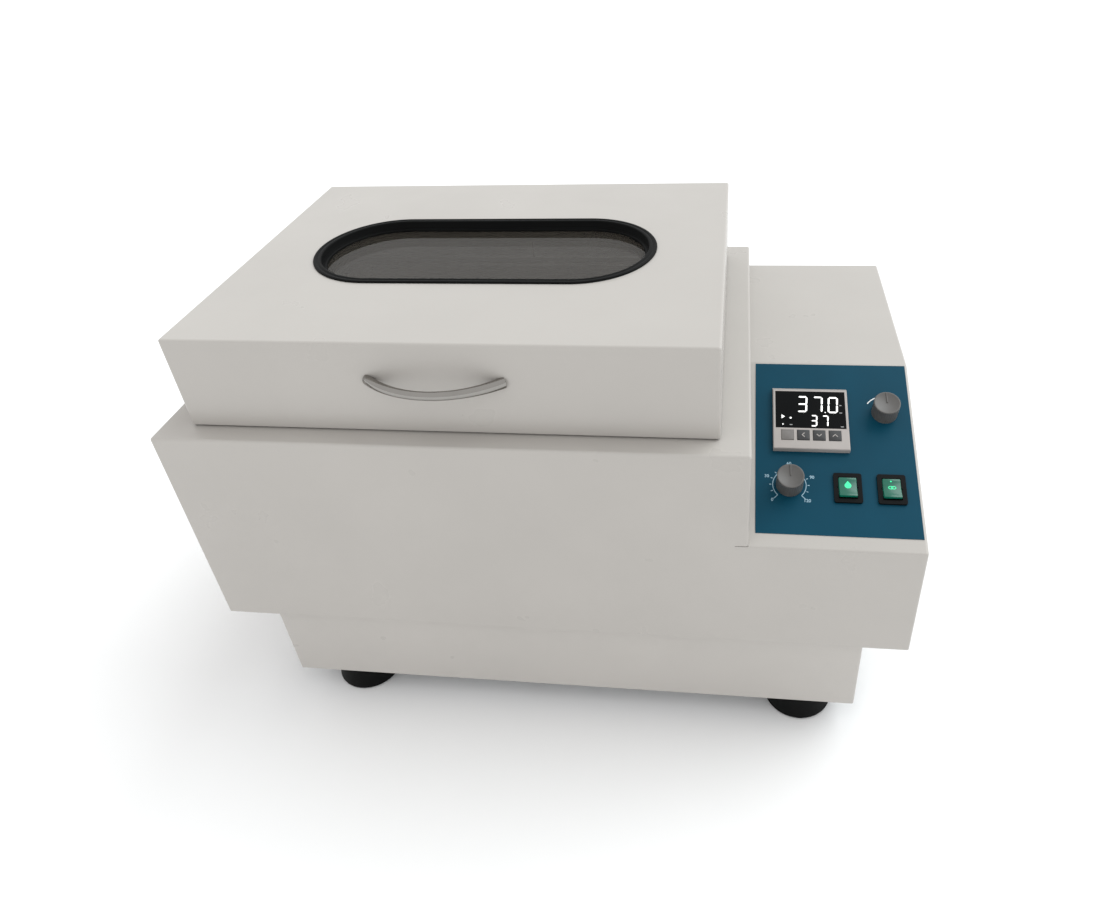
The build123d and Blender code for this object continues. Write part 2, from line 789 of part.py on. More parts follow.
with BuildPart() as tank_insulation:
    foam_length = tank_length + 2 * (tank_wall + insulation_thickness)
    foam_width = tank_width + 2 * (tank_wall + insulation_thickness)
    foam_top_z = deck_z - sheet
    with Locations((tank_x, tank_y, (floor_top_z + foam_top_z) / 2)):
        Box(foam_length, foam_width, foam_top_z - floor_top_z)
    hollow = tank_wall + insulation_gap
    rounded_slab(tank_x, tank_y, tank_length + 2 * hollow, tank_width + 2 * hollow,
                 tank_corner_radius + hollow, tank_bottom_z, foam_top_z + overcut, Mode.SUBTRACT)
    disc(tank_x, tank_y, riser_bore_radius, floor_top_z - overcut, tank_bottom_z + overcut, Mode.SUBTRACT)
    for lead_y in (tank_y - heater_leg_offset, tank_y + heater_leg_offset, tank_y + probe_offset):
        rod((tank_right_x - tank_wall, lead_y, lead_z), (1, 0, 0), bushing_radius, 2 * insulation_thickness,
            Mode.SUBTRACT)
    drain_room = drain_radius + drain_foam_gap
    block(drain_x - 2 * insulation_thickness, tank_left_x, drain_y - drain_room, drain_y + drain_room,
          floor_top_z - overcut, drain_z + drain_room, Mode.SUBTRACT)
save(tank_insulation, "tank_insulation")

# Heater, probe and glands
lead_end_x = step_x + heater_tail
with BuildPart() as heating_element:
    far_x = tank_left_x + heater_end_gap
    with BuildLine() as heater_route:
        FilletPolyline(
            (lead_end_x, tank_y - heater_leg_offset, lead_z),
            (far_x, tank_y - heater_leg_offset, lead_z),
            (far_x, tank_y + heater_leg_offset, lead_z),
            (lead_end_x, tank_y + heater_leg_offset, lead_z),
            radius=heater_bend_radius,
        )
    with BuildSketch(Plane(origin=(lead_end_x, tank_y - heater_leg_offset, lead_z), z_dir=(-1, 0, 0))):
        Circle(heater_radius)
    sweep(path=heater_route.wires()[0])
save(heating_element, "heating_element")

with BuildPart() as temperature_probe:
    rod((lead_end_x, tank_y + probe_offset, lead_z), (-1, 0, 0), probe_radius,
        lead_end_x - tank_right_x + probe_length)
save(temperature_probe, "temperature_probe")

with BuildPart() as tank_glands:
    gland_bores = {
        tank_y - heater_leg_offset: heater_radius,
        tank_y + heater_leg_offset: heater_radius,
        tank_y + probe_offset: probe_radius,
    }
    for lead_y, bore in gland_bores.items():
        inside_x = tank_right_x - gland_flange_thickness
        rod((inside_x, lead_y, lead_z), (1, 0, 0), gland_flange_radius, gland_flange_thickness)
        rod((inside_x, lead_y, lead_z), (1, 0, 0), gland_neck_radius,
            gland_flange_thickness + tank_wall + gland_nut_height)
        with BuildSketch(Plane(origin=(tank_right_x + tank_wall, lead_y, lead_z), z_dir=(1, 0, 0))):
            RegularPolygon(gland_nut_size, 6, major_radius=False)
        extrude(amount=gland_nut_height)
        rod((inside_x - overcut, lead_y, lead_z), (1, 0, 0), bore + gland_bore_clearance,
            2 * (gland_flange_thickness + gland_nut_height), Mode.SUBTRACT)
save(tank_glands, "tank_glands")

# Drain valve under the casing's left overhang
valve_top_z = floor_z - drain_drop + valve_socket
valve_bottom_z = valve_top_z - valve_length
valve_mid_z = (valve_top_z - valve_socket + valve_bottom_z) / 2
spout_z = valve_bottom_z - spout_length
with BuildPart() as drain_valve:
    disc(drain_x, drain_y, valve_radius, valve_bottom_z, valve_top_z)
    rod((drain_x, drain_y, valve_mid_z), (-1, 0, 0), valve_boss_radius,
        valve_radius + valve_boss_reach)
    disc(drain_x, drain_y, spout_radius, spout_z, valve_bottom_z)
    disc(drain_x, drain_y, spout_bore_radius, spout_z - overcut, valve_mid_z - valve_seat_offset,
         Mode.SUBTRACT)
    disc(drain_x, drain_y, drain_radius + gland_bore_clearance, valve_top_z - valve_socket,
         valve_top_z + overcut, Mode.SUBTRACT)
    disc(drain_x, drain_y, spout_bore_radius, valve_mid_z + valve_seat_offset, valve_top_z, Mode.SUBTRACT)
    stem_hole_x = drain_x - valve_radius - valve_boss_reach - overcut
    rod((stem_hole_x, drain_y, valve_mid_z), (1, 0, 0), stem_radius + running_gap, valve_radius,
        Mode.SUBTRACT)
save(drain_valve, "drain_valve")

with BuildPart() as valve_lever:
    stem_start_x = drain_x - stem_radius
    plate_x = drain_x - valve_radius - valve_boss_reach - lever_gap
    stem_reach = stem_start_x - plate_x + lever_thickness
    rod((stem_start_x, drain_y, valve_mid_z), (-1, 0, 0), stem_radius, stem_reach)
    block(plate_x - lever_thickness, plate_x, drain_y - lever_length, drain_y + lever_width / 2,
          valve_mid_z - lever_width / 2, valve_mid_z + lever_width / 2)
    fillet(valve_lever.edges().filter_by(Axis.X), lever_corner_radius)
save(valve_lever, "valve_lever")

# Lid
liner_top_z = lid_top_z - liner_drop
rim_z = lid_z + liner_rim_height
glass_top_z = lid_top_z + gasket_lip_height - glass_depth
glass_bottom_z = glass_top_z - glass_thickness
gasket_bottom_z = liner_top_z - liner_sheet - gasket_grip
body_inset = gasket_overlap + gasket_fit
pocket_inset = body_inset + gasket_wall


def window_slab(inset, z0, z1, mode=Mode.ADD):
    """A slab with the window's outline, moved inwards from the gasket's outer edge."""
    stadium_slab(window_length - 2 * inset, window_width - 2 * inset, z0, z1, mode)


with BuildPart() as lid_shell:
    block(lid_left_x, lid_right_x, lid_front_y, lid_rear_y, lid_z, lid_top_z)
    fillet(lid_shell.edges().filter_by(Axis.Z), fold_radius)
    fillet(lid_shell.faces().sort_by(Axis.Z)[-1].edges(), lid_top_fold_radius)
    block(lid_left_x + sheet, lid_right_x - sheet, lid_front_y + sheet, lid_rear_y - sheet,
          lid_z - overcut, lid_top_z - sheet, Mode.SUBTRACT)
    window_slab(gasket_overlap, lid_top_z - 2 * sheet, lid_top_z + sheet, Mode.SUBTRACT)
    screw_holes(lid_hinge_screws, BACK)
    screw_holes(handle_screws, BACK)
save(lid_shell, "lid_shell")

liner_length = lid_width - 2 * lid_wall_gap
liner_width = lid_depth - 2 * lid_wall_gap
with BuildPart() as lid_liner:
    rounded_slab(tank_x, tank_y, liner_length, liner_width, liner_corner_radius, rim_z, liner_top_z)
    rim_edge = sheet + seal_seat_gap
    block(lid_left_x + rim_edge, lid_right_x - rim_edge, lid_front_y + rim_edge, lid_rear_y - rim_edge,
          rim_z, rim_z + liner_sheet)
    rounded_slab(tank_x, tank_y, liner_length - 2 * liner_sheet, liner_width - 2 * liner_sheet,
                 liner_corner_radius - liner_sheet, rim_z - overcut, liner_top_z - liner_sheet, Mode.SUBTRACT)
    window_slab(gasket_overlap, liner_top_z - 2 * liner_sheet, liner_top_z + liner_sheet, Mode.SUBTRACT)
save(lid_liner, "lid_liner")

with BuildPart() as lid_seal:
    seal_z = flange_top_z + seal_seat_gap
    rounded_slab(tank_x, tank_y, liner_length + 2 * seal_width, liner_width + 2 * seal_width,
                 liner_corner_radius, seal_z, rim_z)
    rounded_slab(tank_x, tank_y, liner_length, liner_width, liner_corner_radius,
                 seal_z - overcut, rim_z + overcut, Mode.SUBTRACT)
save(lid_seal, "lid_seal")

with BuildPart() as window_gasket:
    window_slab(0, lid_top_z, lid_top_z + gasket_lip_height)
    window_slab(body_inset, gasket_bottom_z, lid_top_z)
    mouth_top_z = lid_top_z + gasket_lip_height + overcut
    window_slab(gasket_lip_width, glass_top_z + gasket_grip, mouth_top_z, Mode.SUBTRACT)
    window_slab(pocket_inset + glass_cover, glass_top_z, lid_top_z, Mode.SUBTRACT)
    window_slab(pocket_inset, glass_bottom_z, glass_top_z, Mode.SUBTRACT)
    window_slab(pocket_inset + gasket_ledge, gasket_bottom_z - overcut, glass_bottom_z, Mode.SUBTRACT)
save(window_gasket, "window_gasket")

with BuildPart() as window_glass:
    window_slab(pocket_inset + glass_fit, glass_bottom_z, glass_top_z)
save(window_glass, "window_glass")

# Handle: a bow that grows out of two flat oval ends
bow_radius = ((handle_span / 2) ** 2 + handle_bow**2) / (2 * handle_bow)
bow_y = lid_front_y + bow_radius - handle_bow
with BuildPart() as lid_handle:
    end_reach = handle_span / 2 + handle_end_thickness / 2
    end_y = bow_y - math.sqrt(bow_radius**2 - end_reach**2)
    with BuildLine() as bow:
        ThreePointArc(
            (tank_x - end_reach, end_y, handle_z),
            (tank_x, lid_front_y - handle_bow, handle_z),
            (tank_x + end_reach, end_y, handle_z),
        )
    bow_path = bow.wires()[0]
    for share in (0, 0.25, 0.5, 0.75, 1):
        waist = 1 - abs(2 * share - 1)
        section_height = handle_end_height + waist * (handle_mid_height - handle_end_height)
        section_depth = handle_end_thickness + waist * (handle_mid_thickness - handle_end_thickness)
        with BuildSketch(Plane(origin=bow_path @ share, z_dir=bow_path % share, x_dir=(0, 0, 1))):
            Ellipse(section_height / 2, section_depth / 2)
    sweep(path=bow_path, multisection=True)
    split(bisect_by=Plane(origin=(tank_x, lid_front_y, handle_z), z_dir=FRONT), keep=Keep.TOP)
    for seat in handle_screws:
        rod(seat, FRONT, screw_radius + running_gap, sheet + handle_screw_depth + handle_screw_room,
            Mode.SUBTRACT)
save(lid_handle, "lid_handle")

with BuildPart() as lid_screws:
    pan_screws(lid_hinge_screws, BACK)
    with Locations(*[Plane(origin=seat, z_dir=BACK) for seat in handle_screws]):
        Cylinder(screw_head_radius, screw_head_height, align=(Align.CENTER, Align.CENTER, Align.MIN))
        Cylinder(screw_radius, sheet + handle_screw_depth, align=(Align.CENTER, Align.CENTER, Align.MAX))
save(lid_screws, "lid_screws")

# Hinges: two end knuckles stay on the deck and the middle knuckle moves with the lid
knuckle = hinge_length / 3
half_gap = hinge_knuckle_gap / 2
with BuildPart() as hinge_fixed_leaves:
    for hinge_x in hinge_places:
        ends = (hinge_x - hinge_length / 2, hinge_x + hinge_length / 2)
        block(*ends, hinge_y + leaf_start, hinge_y + hinge_leaf_width, deck_z, deck_z + hinge_leaf)
        for inner, outer in ((-knuckle / 2 - half_gap, ends[0]), (knuckle / 2 + half_gap, ends[1])):
            low_x = min(hinge_x + inner, outer)
            high_x = max(hinge_x + inner, outer)
            block(low_x, high_x, hinge_y, hinge_y + leaf_start, deck_z, deck_z + hinge_leaf)
            rod((low_x, hinge_y, hinge_z), (1, 0, 0), hinge_barrel_radius, high_x - low_x)
        rod((ends[0] - overcut, hinge_y, hinge_z), (1, 0, 0), hinge_pin_radius + running_gap,
            hinge_length + 2 * overcut, Mode.SUBTRACT)
    screw_holes(deck_screws, UP)
save(hinge_fixed_leaves, "hinge_fixed_leaves")

with BuildPart() as hinge_moving_leaves:
    for hinge_x in hinge_places:
        ends = (hinge_x - hinge_length / 2, hinge_x + hinge_length / 2)
        low_x = hinge_x - knuckle / 2 + half_gap
        high_x = hinge_x + knuckle / 2 - half_gap
        leaf_y = (lid_rear_y, lid_rear_y + hinge_leaf)
        block(*ends, *leaf_y, hinge_z + leaf_start, hinge_z + hinge_leaf_width)
        block(low_x, high_x, *leaf_y, hinge_z, hinge_z + leaf_start)
        rod((low_x, hinge_y, hinge_z), (1, 0, 0), hinge_barrel_radius, high_x - low_x)
        rod((low_x - overcut, hinge_y, hinge_z), (1, 0, 0), hinge_pin_radius + running_gap,
            knuckle + 2 * overcut, Mode.SUBTRACT)
    screw_holes(lid_hinge_screws, BACK)
save(hinge_moving_leaves, "hinge_moving_leaves")

with BuildPart() as hinge_pins:
    for hinge_x in hinge_places:
        rod((hinge_x - hinge_length / 2, hinge_y, hinge_z), (1, 0, 0), hinge_pin_radius, hinge_length)
save(hinge_pins, "hinge_pins")


# Control panel pieces, built on the slope: x across, y up the slope, z out of it
def panel_block(x, s, width, height, low, high, mode=Mode.ADD):
    """A block on the slope, centred on a place, between two heights above the sheet."""
    block(x - width / 2, x + width / 2, s - height / 2, s + height / 2, low, high, mode)


label_top = label_thickness
bezel_top = label_top + controller_proud
display_s = controller_s + display_offset
key_s = controller_s + key_row_offset
key_names = ("key_set", "key_shift", "key_down", "key_up")
key_places = [(controller_x + key_pitch * (index - 1.5), key_s) for index in range(len(key_names))]
with BuildPart(panel_plane) as controller_case:
    panel_block(controller_x, controller_s, controller_body, controller_body, -controller_depth, label_top)
save(controller_case, "controller_case")

with BuildPart(panel_plane) as controller_bezel:
    panel_block(controller_x, controller_s, controller_size, controller_size, label_top, bezel_top)
    chamfer(controller_bezel.edges().sort_by(Axis.Z)[-1], bezel_upper_chamfer)
    front_middle = panel_plane.from_local_coords(Vector(controller_x, controller_s, bezel_top))
    front_face = controller_bezel.faces().sort_by_distance(front_middle)[0]
    fillet(front_face.edges(), bezel_edge_radius)
    display_hole = 2 * display_fit
    panel_block(controller_x, display_s, display_width + display_hole, display_height + display_hole,
                bezel_top - display_thickness, bezel_top + overcut, Mode.SUBTRACT)
    for key_x, key_y in key_places:
        panel_block(key_x, key_y, key_width + 2 * key_fit, key_height + 2 * key_fit,
                    label_top - overcut, bezel_top + overcut, Mode.SUBTRACT)
save(controller_bezel, "controller_bezel")

with BuildPart(panel_plane) as display_window:
    panel_block(controller_x, display_s, display_width, display_height,
                bezel_top - display_thickness, bezel_top)
save(display_window, "display_window")

for key_name, (key_x, key_y) in zip(key_names, key_places):
    with BuildPart(panel_plane) as key:
        key_low = label_top + key_travel + key_fit
        panel_block(key_x, key_y, key_width, key_height, key_low, bezel_top + key_proud)
    save(key, key_name)

# The timer and the speed control, each behind the sheet with a neck and nut in front
neck_top = label_top + bushing_nut_height
dial_bodies = {"timer_body": (timer_x, timer_s), "speed_potentiometer": (speed_x, speed_s)}
for body_name, (dial_x, dial_s) in dial_bodies.items():
    with BuildPart(panel_plane) as dial_body:
        if body_name == "timer_body":
            panel_block(dial_x, dial_s, timer_body_size, timer_body_size, -sheet - timer_body_depth, -sheet)
        else:
            disc(dial_x, dial_s, speed_body_radius, -sheet - speed_body_depth, -sheet)
        disc(dial_x, dial_s, bushing_neck_radius, -sheet, neck_top)
        with BuildSketch(panel_plane.offset(label_top)):
            with Locations((dial_x, dial_s)):
                RegularPolygon(bushing_nut_size, 6, major_radius=False)
        extrude(amount=bushing_nut_height)
        disc(dial_x, dial_s, spindle_radius + running_gap, -sheet - spindle_engagement - axial_gap,
             neck_top + overcut, Mode.SUBTRACT)
    save(dial_body, body_name)

knob_low = label_top + knob_gap
knob_top = label_top + knob_height
for knob_name, dial_x, dial_s, knob_radius in (
    ("timer_knob", timer_x, timer_s, timer_knob_radius),
    ("speed_knob", speed_x, speed_s, speed_knob_radius),
):
    with BuildPart(panel_plane) as dial_knob:
        with Locations((dial_x, dial_s, (knob_low + knob_top) / 2)):
            Cone(knob_radius, knob_radius - knob_taper, knob_top - knob_low)
        crown = dial_knob.faces().filter_by(GeomType.PLANE).sort_by_distance(panel_plane.from_local_coords(
            Vector(dial_x, dial_s, knob_top)))[0]
        fillet(crown.edges(), knob_edge_radius)
        panel_block(dial_x, dial_s + knob_radius / 2, knob_mark_width, knob_radius - 2 * knob_edge_radius,
                    knob_top - knob_mark_height, knob_top + knob_mark_height)
        disc(dial_x, dial_s, knob_recess_radius, knob_low - overcut, knob_low + knob_recess_depth,
             Mode.SUBTRACT)
        disc(dial_x, dial_s, spindle_radius, -sheet - spindle_engagement, knob_top - knob_edge_radius)
    save(dial_knob, knob_name)

# Rocker switches: the frame snaps into the panel and the rocker turns on two stub pins
switch_top = label_top + switch_proud
pivot_n = switch_top - rocker_pivot_depth
pin_half = rocker_width / 2 + rocker_pin_reach
rocker_places = {"heat_rocker": (heat_switch_x, switch_s), "shake_rocker": (shake_switch_x, switch_s)}
with BuildPart(panel_plane) as switch_frames:
    for rocker_x, rocker_s in rocker_places.values():
        with BuildSketch(panel_plane.offset(label_top)):
            with Locations((rocker_x, rocker_s)):
                RectangleRounded(switch_width, switch_height, switch_corner_radius)
        extrude(amount=switch_proud)
        panel_block(rocker_x, rocker_s, switch_body_width, switch_body_height, -switch_body_depth, label_top)
        panel_block(rocker_x, rocker_s, switch_well_width, switch_well_height, switch_top - switch_well_depth,
                    switch_top + overcut, Mode.SUBTRACT)
        pin_room = pin_half + axial_gap
        with Locations((rocker_x, rocker_s, pivot_n)):
            Cylinder(rocker_pin_radius + running_gap, 2 * pin_room, rotation=(0, 90, 0), mode=Mode.SUBTRACT)
save(switch_frames, "switch_frames")

for rocker_name, (rocker_x, rocker_s) in rocker_places.items():
    pivot = panel_plane.from_local_coords(Vector(rocker_x, rocker_s, pivot_n))
    rest_angle = math.radians(console_angle - rocker_tilt)
    tilted = Plane(origin=pivot, x_dir=(0, math.cos(rest_angle), math.sin(rest_angle)), z_dir=(1, 0, 0))
    half_length = rocker_length / 2
    with BuildPart() as rocker:
        with BuildSketch(tilted):
            with BuildLine():
                Polyline((-half_length, rocker_shoulder), (-half_length, rocker_top), (0, rocker_waist),
                         (half_length, rocker_top), (half_length, rocker_shoulder),
                         (half_length / 2, -rocker_heel_depth), (-half_length / 2, -rocker_heel_depth),
                         close=True)
            make_face()
        extrude(amount=rocker_width / 2, both=True)
        with BuildSketch(tilted):
            Circle(rocker_pin_radius)
        extrude(amount=pin_half, both=True)
    save(rocker, rocker_name)

# Shaker drive levels
housing_floor_z = plate_top_z + housing_floor
housing_top_z = plate_top_z + housing_height
pulley_z = housing_top_z + axial_gap
pulley_top_z = pulley_z + pulley_groove + 2 * pulley_rim_thickness
collar_top_z = pulley_top_z + collar_height
table_bearing_z = collar_top_z + axial_gap
table_bearing_top_z = table_bearing_z + table_bearing_width
boss_top_z = table_bearing_top_z + table_boss_cap
pin_top_z = table_bearing_top_z - axial_gap
table_z = boss_top_z - table_plate_drop - table_thickness

housing_sizes = [(tank_x, tank_y, crank_bearing_radius, crank_flange_radius)]
housing_sizes += [(x, y, idler_bearing_radius, idler_flange_radius) for x, y in idler_places.values()]
with BuildPart() as bearing_housings:
    for x, y, bearing_radius, flange_radius in housing_sizes:
        disc(x, y, flange_radius, plate_top_z, plate_top_z + housing_flange_thickness)
        disc(x, y, bearing_radius + housing_wall, plate_top_z, housing_top_z)
        disc(x, y, bearing_radius + bearing_fit, housing_floor_z, housing_top_z + overcut, Mode.SUBTRACT)
    screw_holes(housing_screws, DOWN)
save(bearing_housings, "bearing_housings")


def bearing_ring(x, y, outer, inner, z0, width):
    """One ball bearing as a plain ring that turns freely on its shaft."""
    disc(x, y, outer, z0, z0 + width)
    disc(x, y, inner + running_gap, z0 - overcut, z0 + width + overcut, Mode.SUBTRACT)


with BuildPart() as shaft_bearings:
    for z0 in (housing_floor_z, housing_top_z - crank_bearing_width):
        bearing_ring(tank_x, tank_y, crank_bearing_radius, crank_shaft_radius, z0, crank_bearing_width)
    for x, y in idler_places.values():
        for z0 in (housing_floor_z, housing_top_z - idler_bearing_width):
            bearing_ring(x, y, idler_bearing_radius, idler_shaft_radius, z0, idler_bearing_width)
save(shaft_bearings, "shaft_bearings")


def pulley(x, y, radius):
    """A belt pulley with two rims."""
    disc(x, y, radius + pulley_rim, pulley_z, pulley_z + pulley_rim_thickness)
    disc(x, y, radius, pulley_z, pulley_top_z)
    disc(x, y, radius + pulley_rim, pulley_top_z - pulley_rim_thickness, pulley_top_z)


def eccentric_pin(x, y, shaft_radius):
    """The collar and pin that carry the orbit table, off centre by the orbit radius."""
    disc(x + orbit_radius, y, shaft_radius + collar_margin, pulley_top_z, collar_top_z)
    disc(x + orbit_radius, y, shaft_radius, collar_top_z, pin_top_z)


with BuildPart() as drive_crank:
    disc(tank_x, tank_y, crank_shaft_radius, housing_floor_z + axial_gap, pulley_z)
    pulley(tank_x, tank_y, crank_pulley_radius)
    with Locations((tank_x, tank_y, pulley_z)):
        with PolarLocations(crank_pulley_radius * crank_window_share, crank_windows, start_angle=45):
            Cylinder(crank_window_radius, 4 * pulley_groove, mode=Mode.SUBTRACT)
    eccentric_pin(tank_x, tank_y, crank_shaft_radius)
    # Counterweight opposite the pin
    with BuildSketch(Plane.XY.offset(pulley_top_z)):
        with Locations((tank_x, tank_y)):
            Circle(crank_pulley_radius)
            Circle(counterweight_inner_radius, mode=Mode.SUBTRACT)
        with Locations((tank_x - counterweight_inner_radius / 2, tank_y)):
            Rectangle(2 * crank_pulley_radius, 2 * crank_pulley_radius, align=(Align.MIN, Align.CENTER),
                      mode=Mode.SUBTRACT)
    extrude(amount=counterweight_thickness)
save(drive_crank, "drive_crank")

for crank_name, (x, y) in idler_places.items():
    with BuildPart() as idler:
        disc(x, y, idler_shaft_radius, housing_floor_z + axial_gap, pulley_z)
        disc(x, y, idler_web_radius, pulley_z, pulley_top_z)
        eccentric_pin(x, y, idler_shaft_radius)
    save(idler, crank_name)

with BuildPart() as drive_belt:
    belt_z = pulley_z + pulley_rim_thickness + (pulley_groove - belt_width) / 2
    with BuildSketch(Plane.XY.offset(belt_z)) as belt_outside:
        with Locations((tank_x, tank_y)):
            Circle(crank_pulley_radius + belt_gap + belt_thickness)
        with Locations((motor_x, motor_y)):
            Circle(motor_pulley_radius + belt_gap + belt_thickness)
        make_hull()
    extrude(amount=belt_width)
    with BuildSketch(Plane.XY.offset(belt_z - overcut)) as belt_inside:
        with Locations((tank_x, tank_y)):
            Circle(crank_pulley_radius + belt_gap)
        with Locations((motor_x, motor_y)):
            Circle(motor_pulley_radius + belt_gap)
        make_hull()
    extrude(amount=belt_width + 2 * overcut, mode=Mode.SUBTRACT)
save(drive_belt, "drive_belt")

# Motor on its bridge, with the pulley under the plate
bridge_z = pulley_top_z + bracket_clearance
motor_z = bridge_z + bracket_thickness
bracket_x = (motor_x - bracket_length / 2, motor_x + bracket_length / 2)
with BuildPart() as motor_bracket:
    block(*bracket_x, motor_y - bracket_half, motor_y + bracket_half, bridge_z, motor_z)
    for side in (-1, 1):
        wall_y = sorted((motor_y + side * bracket_half, motor_y + side * (bracket_half - bracket_thickness)))
        block(*bracket_x, *wall_y, plate_top_z, bridge_z)
        foot_y = sorted((motor_y + side * bracket_half, motor_y + side * (bracket_half + bracket_foot)))
        block(*bracket_x, *foot_y, plate_top_z, plate_top_z + bracket_thickness)
    disc(motor_x, motor_y, bracket_bore_radius, bridge_z - overcut, motor_z + overcut, Mode.SUBTRACT)
    screw_holes(bracket_screws, DOWN)
save(motor_bracket, "motor_bracket")

with BuildPart() as drive_motor:
    disc(motor_x, motor_y, motor_radius, motor_z, motor_z + motor_length)
    motor_top_z = motor_z + motor_length
    disc(motor_x, motor_y, motor_cap_radius, motor_top_z, motor_top_z + motor_cap_height)
    disc(motor_x, motor_y, motor_shaft_radius + running_gap, motor_z - overcut,
         motor_z + motor_shaft_engagement + axial_gap, Mode.SUBTRACT)
save(drive_motor, "drive_motor")

with BuildPart() as motor_pulley:
    pulley(motor_x, motor_y, motor_pulley_radius)
    disc(motor_x, motor_y, motor_shaft_radius, pulley_top_z, motor_z + motor_shaft_engagement)
save(motor_pulley, "motor_pulley")

# Orbit table, column, hub and tray
table_bosses = [(orbit_x, orbit_y, table_crank_bearing_radius)]
table_bosses += [(x + orbit_radius, y, idler_bearing_radius) for x, y in idler_places.values()]
with BuildPart() as orbit_table:
    table_length = 2 * (idler_spread_x + table_margin)
    table_width = 2 * (idler_spread_y + table_margin)
    table_top_z = table_z + table_thickness
    rounded_slab(orbit_x, orbit_y, table_length, table_width, table_margin, table_z, table_top_z)
    for x, y, bearing_radius in table_bosses:
        disc(x, y, bearing_radius + table_boss_wall, table_bearing_z + table_boss_lift, boss_top_z)
    for x, y, bearing_radius in table_bosses:
        disc(x, y, bearing_radius + bearing_fit, table_bearing_z, table_bearing_top_z, Mode.SUBTRACT)
save(orbit_table, "orbit_table")

with BuildPart() as table_bearings:
    for (x, y, outer), inner in zip(table_bosses, [crank_shaft_radius] + 3 * [idler_shaft_radius]):
        bearing_ring(x, y, outer, inner, table_bearing_z, table_bearing_width)
save(table_bearings, "table_bearings")

hub_inner_radius = riser_bore_radius + riser_wall + orbit_radius + orbit_clearance
hub_outer_radius = hub_inner_radius + hub_wall
hub_flange_radius = hub_outer_radius + hub_flange_width
hub_ceiling_z = riser_top_z + hub_top_gap
hub_top_z = hub_ceiling_z + hub_top_thickness
tray_z = tank_floor_z + tray_height
knob_top_z = hub_top_z + tray_knob_height
stud_top_z = knob_top_z - tray_knob_cap
with BuildPart() as drive_column:
    disc(orbit_x, orbit_y, column_flange_radius, boss_top_z, boss_top_z + column_flange_thickness)
    disc(orbit_x, orbit_y, column_radius, boss_top_z, hub_ceiling_z)
    disc(orbit_x, orbit_y, stud_radius, hub_ceiling_z, stud_top_z)
save(drive_column, "drive_column")

with BuildPart() as tray_hub:
    disc(orbit_x, orbit_y, hub_outer_radius, tray_z - hub_wall, hub_top_z)
    disc(orbit_x, orbit_y, hub_flange_radius, tray_z - hub_wall, tray_z)
    disc(orbit_x, orbit_y, hub_inner_radius, tray_z - 2 * hub_wall, hub_ceiling_z, Mode.SUBTRACT)
    disc(orbit_x, orbit_y, stud_radius + stud_fit, hub_ceiling_z - overcut, hub_top_z + overcut,
         Mode.SUBTRACT)
save(tray_hub, "tray_hub")

tray_length = tank_length - 2 * (orbit_radius + tray_side_gap)
tray_width = tank_width - 2 * (orbit_radius + tray_side_gap)
tray_top_z = tray_z + tray_thickness
keep_out = hub_flange_radius + tray_hole_radius + tray_hole_gap
hole_columns = 1 + int((tray_length - 2 * tray_hole_end_margin) / tray_hole_pitch)
hole_rows = 1 + int((tray_width - 2 * tray_hole_side_margin) / tray_hole_pitch)
hole_places = []
for column in range(hole_columns):
    for row in range(hole_rows):
        hole_x = (column - (hole_columns - 1) / 2) * tray_hole_pitch
        hole_y = (row - (hole_rows - 1) / 2) * tray_hole_pitch
        if math.hypot(hole_x, hole_y) > keep_out:
            hole_places.append((orbit_x + hole_x, orbit_y + hole_y, tray_z))
with BuildPart() as flask_tray:
    rim_top_z = tray_z + tray_rim_height
    rounded_slab(orbit_x, orbit_y, tray_length, tray_width, tray_corner_radius, tray_z, rim_top_z)
    rounded_slab(orbit_x, orbit_y, tray_length - 2 * tray_thickness, tray_width - 2 * tray_thickness,
                 tray_corner_radius - tray_thickness, tray_top_z, rim_top_z + overcut, Mode.SUBTRACT)
    disc(orbit_x, orbit_y, hub_outer_radius + tray_hub_gap, tray_z - overcut, tray_top_z + overcut,
         Mode.SUBTRACT)
    with Locations(*hole_places):
        Cylinder(tray_hole_radius, 4 * tray_thickness, mode=Mode.SUBTRACT)
save(flask_tray, "flask_tray")

with BuildPart() as tray_knob:
    disc(orbit_x, orbit_y, tray_knob_radius, hub_top_z, knob_top_z)
    fillet(tray_knob.edges().sort_by(Axis.Z)[-1], tray_knob_edge_radius)
    with Locations((orbit_x, orbit_y, (hub_top_z + knob_top_z) / 2)):
        with PolarLocations(tray_knob_radius + tray_knob_flute_offset, tray_knob_flutes):
            Cylinder(tray_knob_edge_radius, 2 * tray_knob_height, mode=Mode.SUBTRACT)
    disc(orbit_x, orbit_y, stud_radius + stud_fit, hub_top_z - overcut, stud_top_z + axial_gap, Mode.SUBTRACT)
save(tray_knob, "tray_knob")

